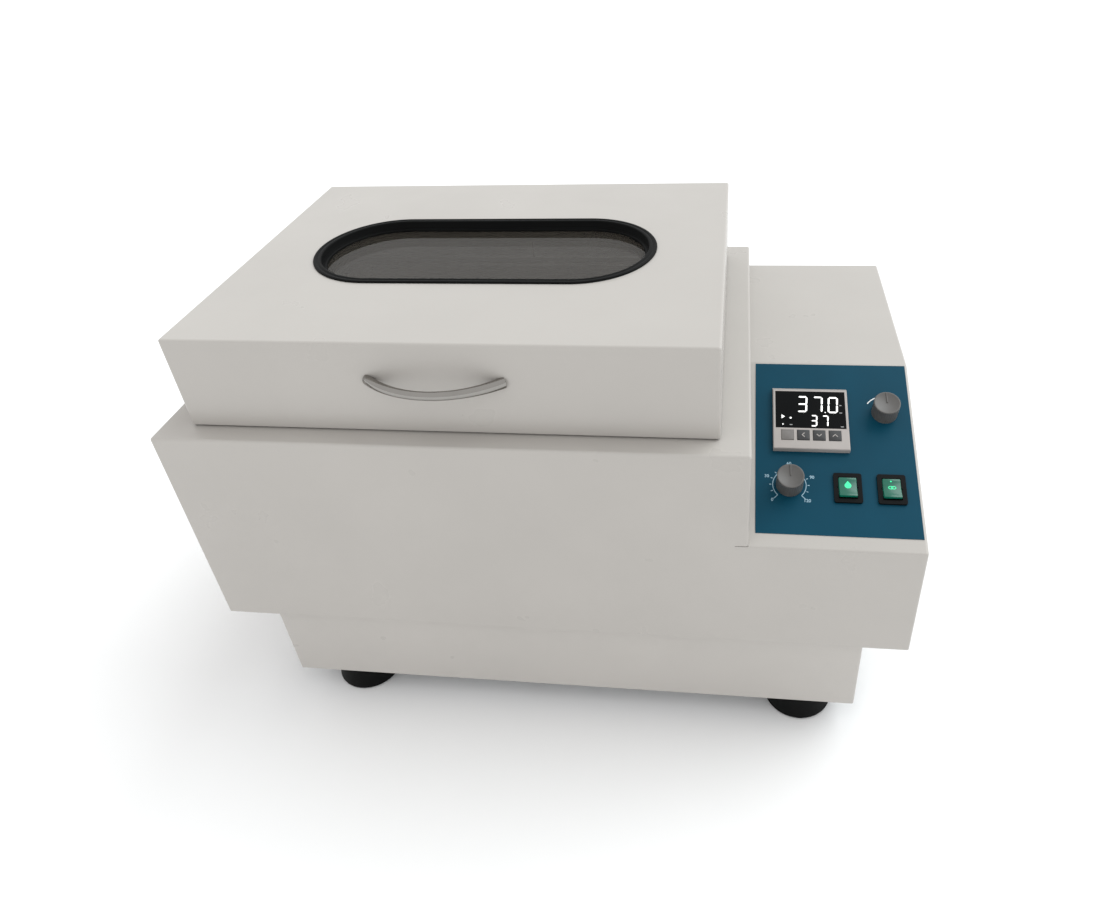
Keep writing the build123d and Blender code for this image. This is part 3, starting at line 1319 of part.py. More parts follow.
# Flask clips: four sprung fingers that lean in at the neck and flare at the tip
clip_reach_x = tray_length / 2 - clip_end_margin
clip_reach_y = tray_width / 2 - clip_side_margin
clip_row_gaps = int(2 * clip_reach_y / clip_least_pitch)
clip_places = []
for column in range(1 + int((clip_reach_x - clip_radius) / clip_pitch)):
    for row in range(clip_row_gaps + 1):
        clip_x = clip_reach_x - column * clip_pitch
        clip_y = clip_reach_y * (2 * row / clip_row_gaps - 1)
        if math.hypot(clip_x, clip_y) > hub_flange_radius + clip_radius:
            clip_places.append((orbit_x - clip_x, orbit_y + clip_y, tray_top_z))
            clip_places.append((orbit_x + clip_x, orbit_y + clip_y, tray_top_z))
with BuildPart() as one_clip:
    half_strip = clip_thickness / 2
    with BuildSketch(Plane.XZ.offset(-clip_finger_width / 2)):
        with BuildLine():
            FilletPolyline(
                (0, half_strip),
                (clip_radius - half_strip, half_strip),
                (clip_radius - half_strip - clip_flare, clip_height - clip_flare),
                (clip_radius - half_strip, clip_height),
                radius=clip_thickness,
            )
        trace(line_width=clip_thickness)
    extrude(amount=clip_finger_width)
    add(one_clip.part.rotate(Axis.Z, 90))
    add(one_clip.part.rotate(Axis.Z, 180))
    disc(0, 0, clip_finger_width, 0, clip_thickness)
with BuildPart() as flask_clips:
    with Locations(*clip_places):
        add(one_clip.part)
save(flask_clips, "flask_clips")

# Electronics on the casing floor, and the power inlet at the rear
relay_x = step_x + electronics_margin
relay_y = motor_y + motor_radius + motor_hole_gap + electronics_margin
with BuildPart() as relay:
    sink_top_z = floor_top_z + relay_sink_height
    base_z = floor_top_z + 2 * relay_fin_thickness
    block(relay_x, relay_x + relay_width, relay_y, relay_y + relay_depth, floor_top_z, base_z)
    fin_y = relay_y
    while fin_y + relay_fin_thickness <= relay_y + relay_depth:
        block(relay_x, relay_x + relay_width, fin_y, fin_y + relay_fin_thickness, floor_top_z, sink_top_z)
        fin_y += relay_fin_pitch
    block(relay_x, relay_x + relay_width, relay_y, relay_y + relay_depth,
          sink_top_z, sink_top_z + relay_height)
save(relay, "relay")

board_x = step_x + electronics_margin
board_y = front_y + sheet + electronics_margin
board_z = floor_top_z + board_pillar_height
with BuildPart() as speed_board:
    block(board_x, board_x + board_width, board_y, board_y + board_depth, board_z, board_z + board_thickness)
    for pillar_x in (board_x + board_margin, board_x + board_width - board_margin):
        for pillar_y in (board_y + board_margin, board_y + board_depth - board_margin):
            disc(pillar_x, pillar_y, board_pillar_radius, floor_top_z, board_z)
    parts_z = board_z + board_thickness
    block(board_x + 2 * board_margin, board_x + board_width / 2, board_y + 2 * board_margin,
          board_y + board_depth / 2, parts_z, parts_z + board_block_height)
    capacitor_x = board_x + capacitor_share * board_width
    disc(capacitor_x, board_y + board_depth / 2, board_margin, parts_z, parts_z + capacitor_height)
save(speed_board, "speed_board")

with BuildPart() as power_inlet:
    flange_x = inlet_flange_width / 2
    flange_z = inlet_flange_height / 2
    block(inlet_x - flange_x, inlet_x + flange_x, rear_y, rear_y + inlet_flange_thickness,
          inlet_z - flange_z, inlet_z + flange_z)
    body_x = inlet_body_width / 2
    body_z = inlet_body_height / 2
    block(inlet_x - body_x, inlet_x + body_x, rear_y - inlet_body_depth, rear_y,
          inlet_z - body_z, inlet_z + body_z)
    mouth_y = rear_y + inlet_flange_thickness
    recess_x = inlet_recess_width / 2
    recess_z = inlet_recess_height / 2
    block(inlet_x - recess_x, inlet_x + recess_x, mouth_y - inlet_recess_depth, mouth_y + overcut,
          inlet_z - recess_z, inlet_z + recess_z, Mode.SUBTRACT)
    pin_y = mouth_y - inlet_recess_depth + inlet_pin_length / 2
    for spread, rise in ((-inlet_pin_spread, -1), (inlet_pin_spread, -1), (0, 1)):
        with Locations((inlet_x + spread, pin_y, inlet_z + rise * inlet_pin_rise)):
            Box(inlet_pin_width, inlet_pin_length, inlet_pin_height)
save(power_inlet, "power_inlet")
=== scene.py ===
import json
import math

import bmesh
import bpy
from mathutils import Matrix, Quaternion, Vector


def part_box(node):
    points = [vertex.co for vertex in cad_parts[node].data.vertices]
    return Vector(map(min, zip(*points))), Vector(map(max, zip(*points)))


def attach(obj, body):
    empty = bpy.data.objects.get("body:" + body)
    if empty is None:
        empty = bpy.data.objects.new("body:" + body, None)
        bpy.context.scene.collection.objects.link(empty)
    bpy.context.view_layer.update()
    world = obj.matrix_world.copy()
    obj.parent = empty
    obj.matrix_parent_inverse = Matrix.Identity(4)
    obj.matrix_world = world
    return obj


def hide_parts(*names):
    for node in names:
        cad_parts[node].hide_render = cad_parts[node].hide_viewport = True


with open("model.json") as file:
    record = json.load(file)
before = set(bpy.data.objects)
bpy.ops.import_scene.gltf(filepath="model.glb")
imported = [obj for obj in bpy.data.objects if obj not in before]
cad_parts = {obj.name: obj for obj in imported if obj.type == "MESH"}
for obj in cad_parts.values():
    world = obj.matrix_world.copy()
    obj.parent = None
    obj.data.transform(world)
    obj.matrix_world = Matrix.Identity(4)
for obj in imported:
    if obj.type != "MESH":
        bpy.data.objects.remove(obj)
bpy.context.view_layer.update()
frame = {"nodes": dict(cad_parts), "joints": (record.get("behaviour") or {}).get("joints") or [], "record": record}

# Looks of a shaking water bath. Metres, in the frame of the CAD part.
MM = 0.001
JOINTS = {joint["name"]: joint for joint in frame["joints"]}

# Camera, fitted to the straight edges of the casing in the photograph
PHOTO_WIDTH = 1096
PHOTO_HEIGHT = 922
FOCAL_PIXELS = 831.16
PRINCIPAL_PIXEL = (626.36, 400.66)
SENSOR_WIDTH = 36.0
CAMERA_CLIP = (0.01, 100)
CAMERA_PLACE = Vector((0.17428, -0.75806, 0.78922))
CAMERA_AZIMUTH = math.radians(8.667)
CAMERA_ELEVATION = math.radians(34.36)
CAMERA_ROLL = math.radians(3.61)

# Studio light
WORLD_STRENGTH = 0.98
SUN_STRENGTH = 1.75
SUN_WIDTH = math.radians(50)
SUN_COLOUR = (0.93, 0.985, 1.0)
SUN_FROM = (0.62, 0.42, 0.85)
FLOOR_REACH = 15

# Paint: orange peel and dust as (cell, depth of relief) in metres
PEEL = (0.0022, 0.000007)
DUST = (0.0004, 0.000001)
GLASS_ALPHA = 0.42

# Steps round the corners and along the rounded edges of plates
CORNER_STEPS = 6
EDGE_STEPS = 4

# Window gasket: its section, as (inset from the outer edge, height over the lid) in millimetres
GASKET_SECTION = [
    (0.0, 0.0), (0.0, 1.1), (0.5, 1.75), (1.4, 2.0), (3.0, 2.0), (3.7, 1.55), (4.6, 1.55), (5.3, 2.0),
    (6.8, 2.0), (7.6, 1.7), (8.0, 1.0), (8.0, -5.0), (8.5, -5.6), (11.5, -5.6), (12.2, -6.2), (12.2, -7.9),
    (10.3, -7.9), (10.3, -13.05), (16.2, -13.05), (16.2, -17.8), (15.6, -18.4), (5.8, -18.4), (5.2, -17.8),
    (5.2, 0.0),
]
STADIUM_STEPS = 40

# Handle
HANDLE_END_HEIGHT = 11.0 * MM
HANDLE_MID_HEIGHT = 8.0 * MM
HANDLE_END_DEPTH = 9.0 * MM
HANDLE_MID_DEPTH = 7.4 * MM
HANDLE_SECTIONS = 72
HANDLE_ROUND = 32
HANDLE_OVERRUN = 1.06
HANDLE_SWELL = 2.2

# Knobs
KNOB_RIBS = 36
KNOB_RIB_SAMPLES = 6
KNOB_RIB_DEPTH = 0.2 * MM
KNOB_EDGE = 0.7 * MM
KNOB_DISH = 0.25 * MM
KNOB_RECESS = (9.0 * MM, 4.0 * MM)
KNOB_FOOT_CHAMFER = 0.4 * MM
KNOB_FOOT_HEIGHT = 2.4 * MM
KNOB_WAIST = 0.1 * MM
KNOB_RIB_START = 2.8 * MM
KNOB_RIB_END = 0.6 * MM
KNOB_EDGE_STEPS = 5
KNOB_RIM = 1.6 * MM
KNOB_DISH_INSET = 2.0 * MM
POINTER_WIDTH = 1.2 * MM
POINTER_HEIGHT = 0.6 * MM
POINTER_EDGE = 0.4 * MM
POINTER_END = 0.8 * MM

# Keys
KEY_CORNER = 1.0 * MM
KEY_EDGE = 0.5 * MM
ARROW_REACH = 2.3 * MM
MARK_STROKE = 0.9 * MM

# Display, in millimetres from its upper left corner: (digit, centre across, centre down)
BIG_DIGITS = [("3", 25.9, 15.0), ("7", 40.6, 15.2), ("0", 55.2, 15.4)]
BIG_DIGIT = (9.8, 18.8, 1.75)
SMALL_DIGITS = [("3", 36.6, 34.0), ("7", 47.2, 34.1)]
SMALL_DIGIT = (6.4, 13.0, 1.4)
DIGIT_LEAN = math.radians(3.0)
POINT_PLACE = (47.6, 24.2)
POINT_RADIUS = 0.6
LAMP_TRIANGLES = [(7.0, 29.8, 3.2), (7.0, 38.6, 1.5)]
LAMP_DOTS = [(14.4, 31.2, 1.0)]
LAMP_DASHES = [(14.6, 39.0, 2.6), (62.4, 15.8, 2.2), (62.4, 24.4, 2.6), (63.0, 40.2, 2.8)]
PRINT_HEIGHT = 0.06 * MM

SEGMENTS = {"0": "abcdef", "3": "abcdg", "7": "abc"}
SEGMENT_GAP = 0.12


# Materials
def new_material(name):
    """A material with its node tree and its main shader."""
    material = bpy.data.materials.new(name)
    material.use_nodes = True
    return material, material.node_tree, material.node_tree.nodes["Principled BSDF"]


def add_noise(tree, cell, detail=2.0, stretch=(1, 1, 1)):
    """Noise with cells of a real size, in metres, stretched along an axis if asked."""
    coordinates = tree.nodes.new("ShaderNodeTexCoord")
    mapping = tree.nodes.new("ShaderNodeMapping")
    mapping.inputs["Scale"].default_value = [1 / (cell * share) for share in stretch]
    texture = tree.nodes.new("ShaderNodeTexNoise")
    texture.inputs["Scale"].default_value = 1.0
    texture.inputs["Detail"].default_value = detail
    tree.links.new(coordinates.outputs["Object"], mapping.inputs["Vector"])
    tree.links.new(mapping.outputs["Vector"], texture.inputs["Vector"])
    return texture.outputs["Fac"]


def add_range(tree, source, low, high):
    """A noise value turned into a range of another value."""
    spread = tree.nodes.new("ShaderNodeMapRange")
    spread.inputs["From Min"].default_value = 0.3
    spread.inputs["From Max"].default_value = 0.7
    spread.inputs["To Min"].default_value = low
    spread.inputs["To Max"].default_value = high
    tree.links.new(source, spread.inputs["Value"])
    return spread.outputs["Result"]


def add_bump(tree, shader, source, relief, before=None):
    """Relief of a real depth, in metres, from a noise value."""
    bump = tree.nodes.new("ShaderNodeBump")
    bump.inputs["Strength"].default_value = 1.0
    bump.inputs["Distance"].default_value = relief
    tree.links.new(source, bump.inputs["Height"])
    if before:
        tree.links.new(before, bump.inputs["Normal"])
    tree.links.new(bump.outputs["Normal"], shader.inputs["Normal"])
    return bump.outputs["Normal"]


def linear(colour):
    """Screen values from 0 to 255 as linear light."""
    return [((c / 255 + 0.055) / 1.055) ** 2.4 if c > 10.3 else c / 255 / 12.92 for c in colour]


def tint(tree, shader, source, colour, spread):
    """Base colour that drifts a little to each side of the given one."""
    mix = tree.nodes.new("ShaderNodeMix")
    mix.data_type = "RGBA"
    mix.inputs[6].default_value = [c * (1 - spread) for c in linear(colour)] + [1]
    mix.inputs[7].default_value = [min(1, c * (1 + spread)) for c in linear(colour)] + [1]
    tree.links.new(add_range(tree, source, 0, 1), mix.inputs[0])
    tree.links.new(mix.outputs[2], shader.inputs["Base Color"])


def surface(name, colour, roughness, patch=0.06, spread=0.03, grain=0.001, relief=0.00001,
            metallic=0.0, stretch=(1, 1, 1), specular=0.5):
    """A solid finish: drifting colour and roughness in patches, and a fine relief."""
    material, tree, shader = new_material(name)
    drift = add_noise(tree, patch, 3.0)
    tint(tree, shader, drift, colour, spread)
    fine = add_noise(tree, grain, 3.0, stretch)
    tree.links.new(add_range(tree, fine, roughness[0], roughness[1]), shader.inputs["Roughness"])
    add_bump(tree, shader, fine, relief)
    shader.inputs["Metallic"].default_value = metallic
    shader.inputs["Specular IOR Level"].default_value = specular
    return material


def powder_coat(name, colour):
    """Baked powder coat: orange peel of about 2 mm under a satin gloss, with a faint mottle of the tone that is
    painted reflection of the surroundings.
    """
    material, tree, shader = new_material(name)
    # Painted reflection: a slow mottle of the base colour, about 2 percent to each side, in cells of 11 cm.
    tint(tree, shader, add_noise(tree, 0.11, 4.0), colour, 0.018)
    peel = add_noise(tree, PEEL[0])
    dust = add_noise(tree, DUST[0])
    tree.links.new(add_range(tree, add_noise(tree, 0.05, 3.0), 0.27, 0.36), shader.inputs["Roughness"])
    waves = add_bump(tree, shader, peel, PEEL[1])
    add_bump(tree, shader, dust, DUST[1], waves)
    shader.inputs["Specular IOR Level"].default_value = 0.35
    return material


def glowing(name, colour, strength):
    """A lit symbol."""
    material, tree, shader = new_material(name)
    tint(tree, shader, add_noise(tree, 0.002), colour, 0.05)
    shader.inputs["Roughness"].default_value = 0.4
    shader.inputs["Emission Color"].default_value = linear(colour) + [1]
    shader.inputs["Emission Strength"].default_value = strength
    return material


def smoked_glass():
    """Tinted toughened glass: half clear, so that the bath shows through."""
    material, tree, shader = new_material("smoked_glass")
    tint(tree, shader, add_noise(tree, 0.08), (66, 62, 56), 0.08)
    add_bump(tree, shader, add_noise(tree, 0.05, 1.0), 0.00001)
    shader.inputs["Roughness"].default_value = 0.03
    shader.inputs["Alpha"].default_value = GLASS_ALPHA
    shader.inputs["Specular IOR Level"].default_value = 0.6
    return material


def lit_green():
    """Moulded green plastic with a lamp behind it."""
    material, tree, shader = new_material("rocker_green")
    tint(tree, shader, add_noise(tree, 0.006, 2.0), (8, 78, 62), 0.12)
    add_bump(tree, shader, add_noise(tree, 0.0006), 0.000004)
    shader.inputs["Roughness"].default_value = 0.22
    shader.inputs["Emission Color"].default_value = linear((14, 105, 84)) + [1]
    shader.inputs["Emission Strength"].default_value = 0.3
    return material


# Finishes by slot: colour, range of roughness, and what isn't as usual
FINISHES = {
    "zinc_plate": ((168, 170, 172), (0.28, 0.5), dict(patch=0.018, spread=0.12, metallic=1.0)),
    "stainless": ((196, 195, 192), (0.2, 0.38),
                  dict(patch=0.09, spread=0.04, grain=0.0006, relief=0.000004, metallic=1.0,
                       stretch=(40, 1, 1))),
    "screw_steel": ((178, 178, 176), (0.18, 0.4), dict(patch=0.004, spread=0.1, metallic=1.0)),
    "label_film": ((2, 63, 83), (0.42, 0.55),
                   dict(patch=0.05, spread=0.05, grain=0.0007, relief=0.000004, specular=0.12)),
    "chrome_plate": ((146, 143, 139), (0.05, 0.1),
                     dict(patch=0.03, spread=0.05, grain=0.004, relief=0.000004, metallic=1.0)),
    "black_rubber": ((7, 8, 8), (0.45, 0.62),
                     dict(patch=0.03, spread=0.25, grain=0.0009, relief=0.00002, specular=0.09)),
    "grey_silicone": ((150, 150, 147), (0.5, 0.65), dict(relief=0.00001)),
    "knob_grey": ((84, 82, 80), (0.34, 0.48),
                  dict(patch=0.01, spread=0.06, grain=0.0005, relief=0.00001)),
    "bezel_grey": ((166, 160, 156), (0.34, 0.46),
                   dict(patch=0.02, spread=0.03, grain=0.0006, relief=0.000008)),
    "display_black": ((6, 8, 9), (0.12, 0.2),
                      dict(patch=0.03, spread=0.2, relief=0.000001, specular=0.1)),
    "key_dark": ((34, 34, 36), (0.38, 0.5),
                 dict(patch=0.004, spread=0.15, grain=0.0004, relief=0.00001)),
    "key_grey": ((108, 104, 101), (0.4, 0.52),
                 dict(patch=0.004, spread=0.05, grain=0.0004, relief=0.00001)),
    "switch_black": ((9, 10, 11), (0.3, 0.42),
                     dict(patch=0.01, spread=0.2, grain=0.0006, relief=0.000008, specular=0.1)),
    "black_plastic": ((26, 26, 27), (0.4, 0.55),
                      dict(patch=0.02, spread=0.15, grain=0.0006, relief=0.00001)),
    "foam_wrap": ((222, 216, 200), (0.8, 0.95),
                  dict(patch=0.01, spread=0.1, grain=0.0015, relief=0.0003, stretch=(6, 1, 1))),
    "aluminium": ((190, 191, 193), (0.25, 0.42),
                  dict(patch=0.04, spread=0.04, grain=0.0005, relief=0.000004, metallic=1.0)),
    "brass": ((196, 164, 96), (0.22, 0.38),
              dict(patch=0.01, spread=0.08, grain=0.0005, relief=0.000005, metallic=1.0)),
    "bearing_steel": ((160, 161, 163), (0.15, 0.28), dict(metallic=1.0, relief=0.000002)),
    "board_green": ((22, 92, 52), (0.3, 0.4), dict(patch=0.005, spread=0.1, relief=0.00001)),
    "motor_paint": ((42, 44, 46), (0.3, 0.45),
                    dict(patch=0.02, spread=0.12, grain=0.0012, relief=0.00002)),
}
MATERIALS = {slot: surface(slot, *finish[:2], **finish[2]) for slot, finish in FINISHES.items()}
MATERIALS["casing_paint"] = powder_coat("casing_paint", (180, 176, 171))
MATERIALS["plinth_paint"] = powder_coat("plinth_paint", (185, 181, 176))
MATERIALS["smoked_glass"] = smoked_glass()
MATERIALS["rocker_green"] = lit_green()
PRINT_PALE = surface("print_pale", (150, 182, 198), (0.4, 0.5), patch=0.004, spread=0.06)
PRINT_WHITE = surface("print_white", (228, 230, 230), (0.4, 0.5), patch=0.004, spread=0.04)
GLOW_WHITE = glowing("glow_white", (240, 240, 238), 0.75)
GLOW_DIM = glowing("glow_dim", (140, 142, 142), 0.25)
GLOW_GREEN = glowing("glow_green", (44, 208, 142), 0.6)
# Painted shade: a dark colour that stands for the shaded slit of the liner's seam.
SEAM_PAINTED_SHADE = surface("seam_painted_shade", (44, 43, 40), (0.5, 0.6), patch=0.01)


# Meshes
def shade(mesh, angle=35.0):
    """Smooth shading that keeps corners sharper than an angle."""
    mesh.polygons.foreach_set("use_smooth", [True] * len(mesh.polygons))
    mesh.set_sharp_from_angle(angle=math.radians(angle))


def add_piece(name, bm, body, slot, material=None, place=None, angle=35.0):
    """A finished mesh that rides on a body."""
    if place is not None:
        bm.transform(place)
    bmesh.ops.recalc_face_normals(bm, faces=bm.faces)
    mesh = bpy.data.meshes.new(name)
    bm.to_mesh(mesh)
    bm.free()
    mesh.materials.append(material or MATERIALS[slot])
    shade(mesh, angle)
    piece = bpy.data.objects.new(name, mesh)
    bpy.context.scene.collection.objects.link(piece)
    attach(piece, body)
    return piece


def skin(bm, rings, closed=False):
    """Faces between neighbouring rings of points, with flat ends unless the rings close on themselves."""
    loops = [[bm.verts.new(point) for point in ring] for ring in rings]
    pairs = list(zip(loops, loops[1:] + loops[:1])) if closed else list(zip(loops, loops[1:]))
    for low, high in pairs:
        count = len(low)
        for i in range(count):
            bm.faces.new((low[i], low[(i + 1) % count], high[(i + 1) % count], high[i]))
    if not closed:
        bm.faces.new(loops[0][::-1])
        bm.faces.new(loops[-1])


def rounded_rectangle(width, height, corner, z):
    """A ring of points: a rectangle with round corners, centred on the origin."""
    points = []
    for turn, (sx, sy) in enumerate(((1, 1), (-1, 1), (-1, -1), (1, -1))):
        centre = Vector((sx * (width / 2 - corner), sy * (height / 2 - corner), z))
        for step in range(CORNER_STEPS + 1):
            angle = math.radians(90 * (turn + step / CORNER_STEPS))
            points.append(centre + corner * Vector((math.cos(angle), math.sin(angle), 0)))
    return points


def rounded_plate(bm, width, height, corner, low, high, edge):
    """A plate with round corners and a rounded upper edge."""
    rings = [rounded_rectangle(width, height, corner, low)]
    for step in range(EDGE_STEPS + 1):
        angle = math.radians(90 * step / EDGE_STEPS)
        inset = edge * (1 - math.cos(angle))
        level = high - edge + edge * math.sin(angle)
        rounding = max(corner - inset, edge / 8)
        rings.append(rounded_rectangle(width - 2 * inset, height - 2 * inset, rounding, level))
    skin(bm, rings)


# The console slope: across, uphill and out of it, measured from the origin of the part
NORMAL = -Vector(JOINTS["timer_turn"]["axis"]).normalized()
ACROSS = Vector((1, 0, 0))
UPHILL = NORMAL.cross(ACROSS)
TO_PANEL = Matrix((ACROSS, UPHILL, NORMAL))
FROM_PANEL = TO_PANEL.transposed()


def panel_box(node):
    """Lowest and highest corner of a CAD node in the axes of the slope."""
    points = [TO_PANEL @ vertex.co for vertex in frame["nodes"][node].data.vertices]
    return [Vector([pick(point[i] for point in points) for i in range(3)]) for pick in (min, max)]


def on_panel(x, s, n):
    """A placement on the slope, with z out of it."""
    return Matrix.Translation(FROM_PANEL @ Vector((x, s, n))) @ FROM_PANEL.to_4x4()


LABEL_TOP = panel_box("console_label")[1].z


def dress_nodes():
    """Every CAD node takes the material of its slot in the record."""
    for entry in frame["record"]["subparts"]:
        node = frame["nodes"][entry["node"]]
        node.data.materials.clear()
        node.data.materials.append(MATERIALS[entry["material_slot"]])
        shade(node.data)


# Lid
def stadium(centre, length, width, z):
    """A ring of points: two straight sides and two round ends."""
    radius = width / 2
    reach = length / 2 - radius
    points = []
    for side, start in ((1, -90), (-1, 90)):
        for step in range(STADIUM_STEPS + 1):
            angle = math.radians(start + 180 * step / STADIUM_STEPS)
            x = side * reach + radius * math.cos(angle)
            points.append(Vector((centre.x + x, centre.y + radius * math.sin(angle), z)))
    return points


def window_gasket():
    """The rubber gasket: two beads on the lid, a throat, and the groove that holds the glass."""
    low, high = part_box("window_gasket")
    lid_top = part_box("lid_shell")[1].z
    centre = (low + high) / 2
    length = high.x - low.x
    width = high.y - low.y
    rings = []
    for inset, height in GASKET_SECTION:
        step = 2 * inset * MM
        rings.append(stadium(centre, length - step, width - step, lid_top + height * MM))
    bm = bmesh.new()
    skin(bm, rings, closed=True)
    gasket = add_piece("gasket_ring", bm, "lid", "black_rubber", angle=50)
    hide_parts("window_gasket")


def lid_handle():
    """A cast bow with oval ends, thinner in the middle."""
    low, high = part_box("lid_handle")
    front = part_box("lid_shell")[0].y
    centre_x = (low.x + high.x) / 2
    level = (low.z + high.z) / 2
    half = (high.x - low.x) / 2
    bow = front - low.y - HANDLE_MID_DEPTH / 2
    radius = (half**2 + bow**2) / (2 * bow)
    centre_y = front - bow + radius
    reach = math.asin(min(1, (half - HANDLE_END_DEPTH / 4) / radius))
    rings = []
    for section in range(HANDLE_SECTIONS + 1):
        share = 2 * section / HANDLE_SECTIONS - 1
        angle = share * reach * HANDLE_OVERRUN
        swell = abs(share) ** HANDLE_SWELL
        height = HANDLE_MID_HEIGHT + swell * (HANDLE_END_HEIGHT - HANDLE_MID_HEIGHT)
        depth = HANDLE_MID_DEPTH + swell * (HANDLE_END_DEPTH - HANDLE_MID_DEPTH)
        out = Vector((math.sin(angle), -math.cos(angle), 0))
        middle = Vector((centre_x, centre_y, level)) + radius * out
        ring = []
        for step in range(HANDLE_ROUND):
            turn = 2 * math.pi * step / HANDLE_ROUND
            rise = Vector((0, 0, height / 2 * math.sin(turn)))
            ring.append(middle + out * (depth / 2 * math.cos(turn)) + rise)
        rings.append(ring)
    bm = bmesh.new()
    skin(bm, rings)
    cut = bmesh.ops.bisect_plane(bm, geom=bm.verts[:] + bm.edges[:] + bm.faces[:], dist=1e-7,
                                 plane_co=(0, front, 0), plane_no=(0, 1, 0), clear_outer=True)
    rim = [item for item in cut["geom_cut"] if isinstance(item, bmesh.types.BMEdge)]
    bmesh.ops.contextual_create(bm, geom=rim)
    handle = add_piece("handle_bow", bm, "lid", "chrome_plate", angle=60)
    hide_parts("lid_handle")


# Console
def circle(radius, z, ribs=0.0):
    """A ring of points round the origin, with grip ribs if asked."""
    count = KNOB_RIBS * KNOB_RIB_SAMPLES
    points = []
    for step in range(count):
        angle = 2 * math.pi * step / count
        wave = ribs * (0.5 - 0.5 * math.cos(KNOB_RIBS * angle))
        points.append(Vector(((radius - wave) * math.cos(angle), (radius - wave) * math.sin(angle), z)))
    return points


def dial_knob(node, body, joint):
    """A ribbed knob with a dished crown and a pointer ridge that reaches the rim."""
    low, high = panel_box(node)
    centre = TO_PANEL @ Vector(JOINTS[joint]["pos_m"])
    radius = high.x - centre.x
    height = high.z - low.z - POINTER_HEIGHT
    recess_radius, recess_depth = KNOB_RECESS
    crown = height - KNOB_EDGE
    rings = [
        circle(recess_radius, recess_depth),
        circle(recess_radius, 0),
        circle(radius - KNOB_FOOT_CHAMFER, 0),
        circle(radius, KNOB_FOOT_CHAMFER),
        circle(radius, KNOB_FOOT_HEIGHT),
        circle(radius - KNOB_WAIST, KNOB_RIB_START, KNOB_RIB_DEPTH),
        circle(radius - KNOB_WAIST, crown - KNOB_RIB_END, KNOB_RIB_DEPTH),
        circle(radius - KNOB_WAIST, crown),
    ]
    for step in range(1, KNOB_EDGE_STEPS + 1):
        angle = math.radians(90 * step / KNOB_EDGE_STEPS)
        inset = KNOB_WAIST + KNOB_EDGE * (1 - math.cos(angle))
        rings.append(circle(radius - inset, crown + KNOB_EDGE * math.sin(angle)))
    rings.append(circle(radius - KNOB_RIM, height))
    rings.append(circle(radius - KNOB_DISH_INSET, height - KNOB_DISH))
    bm = bmesh.new()
    skin(bm, rings)
    place = on_panel(centre.x, centre.y, low.z)
    knob = add_piece(f"{node}_cap", bm, body, "knob_grey", place=place, angle=40)
    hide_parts(node)
    bm = bmesh.new()
    length = radius - POINTER_END
    corner = POINTER_WIDTH / 2.2
    rounded_plate(bm, POINTER_WIDTH, length, corner, -KNOB_DISH * 1.5, POINTER_HEIGHT, POINTER_EDGE)
    place = on_panel(centre.x, centre.y + length / 2, low.z + height)
    add_piece(f"{node}_pointer", bm, body, "knob_grey", place=place)


def key_cap(node, body):
    """A key with round corners, in the place of the plain one."""
    low, high = panel_box(node)
    centre = (low + high) / 2
    bm = bmesh.new()
    width = high.x - low.x
    length = high.y - low.y
    rounded_plate(bm, width, length, KEY_CORNER, 0, high.z - low.z, KEY_EDGE)
    slot = "key_grey" if node == "key_set" else "key_dark"
    cap = add_piece(f"{node}_cap", bm, body, slot, place=on_panel(centre.x, centre.y, low.z))
    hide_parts(node)
    return Vector((centre.x, centre.y, high.z))


def blob(bm, points):
    """A flat filled shape from its outline in the plane."""
    skin(bm, [[Vector((x, y, z)) for x, y in points] for z in (0.0, PRINT_HEIGHT)])


def stroke(bm, points, width):
    """A flat line of even width through points in the plane, one closed solid for each straight part."""
    left, right = [], []
    for i, point in enumerate(points):
        before = points[max(i - 1, 0)]
        after = points[min(i + 1, len(points) - 1)]
        along = Vector((after[0] - before[0], after[1] - before[1])).normalized()
        side = Vector((-along.y, along.x)) * width / 2
        left.append((point[0] + side.x, point[1] + side.y))
        right.append((point[0] - side.x, point[1] - side.y))
    for i in range(len(points) - 1):
        blob(bm, (right[i], right[i + 1], left[i + 1], left[i]))


def arc_points(radius, start, end, steps=24, centre=(0, 0)):
    """Points of an arc, angles in degrees."""
    angles = [math.radians(start + (end - start) * step / steps) for step in range(steps + 1)]
    return [(centre[0] + radius * math.cos(a), centre[1] + radius * math.sin(a)) for a in angles]


def dot_points(radius, centre=(0, 0)):
    """The outline of a round dot."""
    return arc_points(radius, 0, 345, 23, centre)


def key_marks():
    """Plain arrows on the three dark keys: step left, down and up."""
    wide = ARROW_REACH
    half = ARROW_REACH * 0.5
    chevrons = {
        "key_shift": [(half, wide), (-half, 0), (half, -wide)],
        "key_down": [(-wide, half), (0, -half), (wide, half)],
        "key_up": [(-wide, -half), (0, half), (wide, -half)],
    }
    key_cap("key_set", "set_key")
    for node, body in (("key_shift", "shift_key"), ("key_down", "down_key"), ("key_up", "up_key")):
        top = key_cap(node, body)
        bm = bmesh.new()
        stroke(bm, chevrons[node], MARK_STROKE)
        add_piece(f"{node}_mark", bm, body, "bezel_grey", place=on_panel(top.x, top.y, top.z))


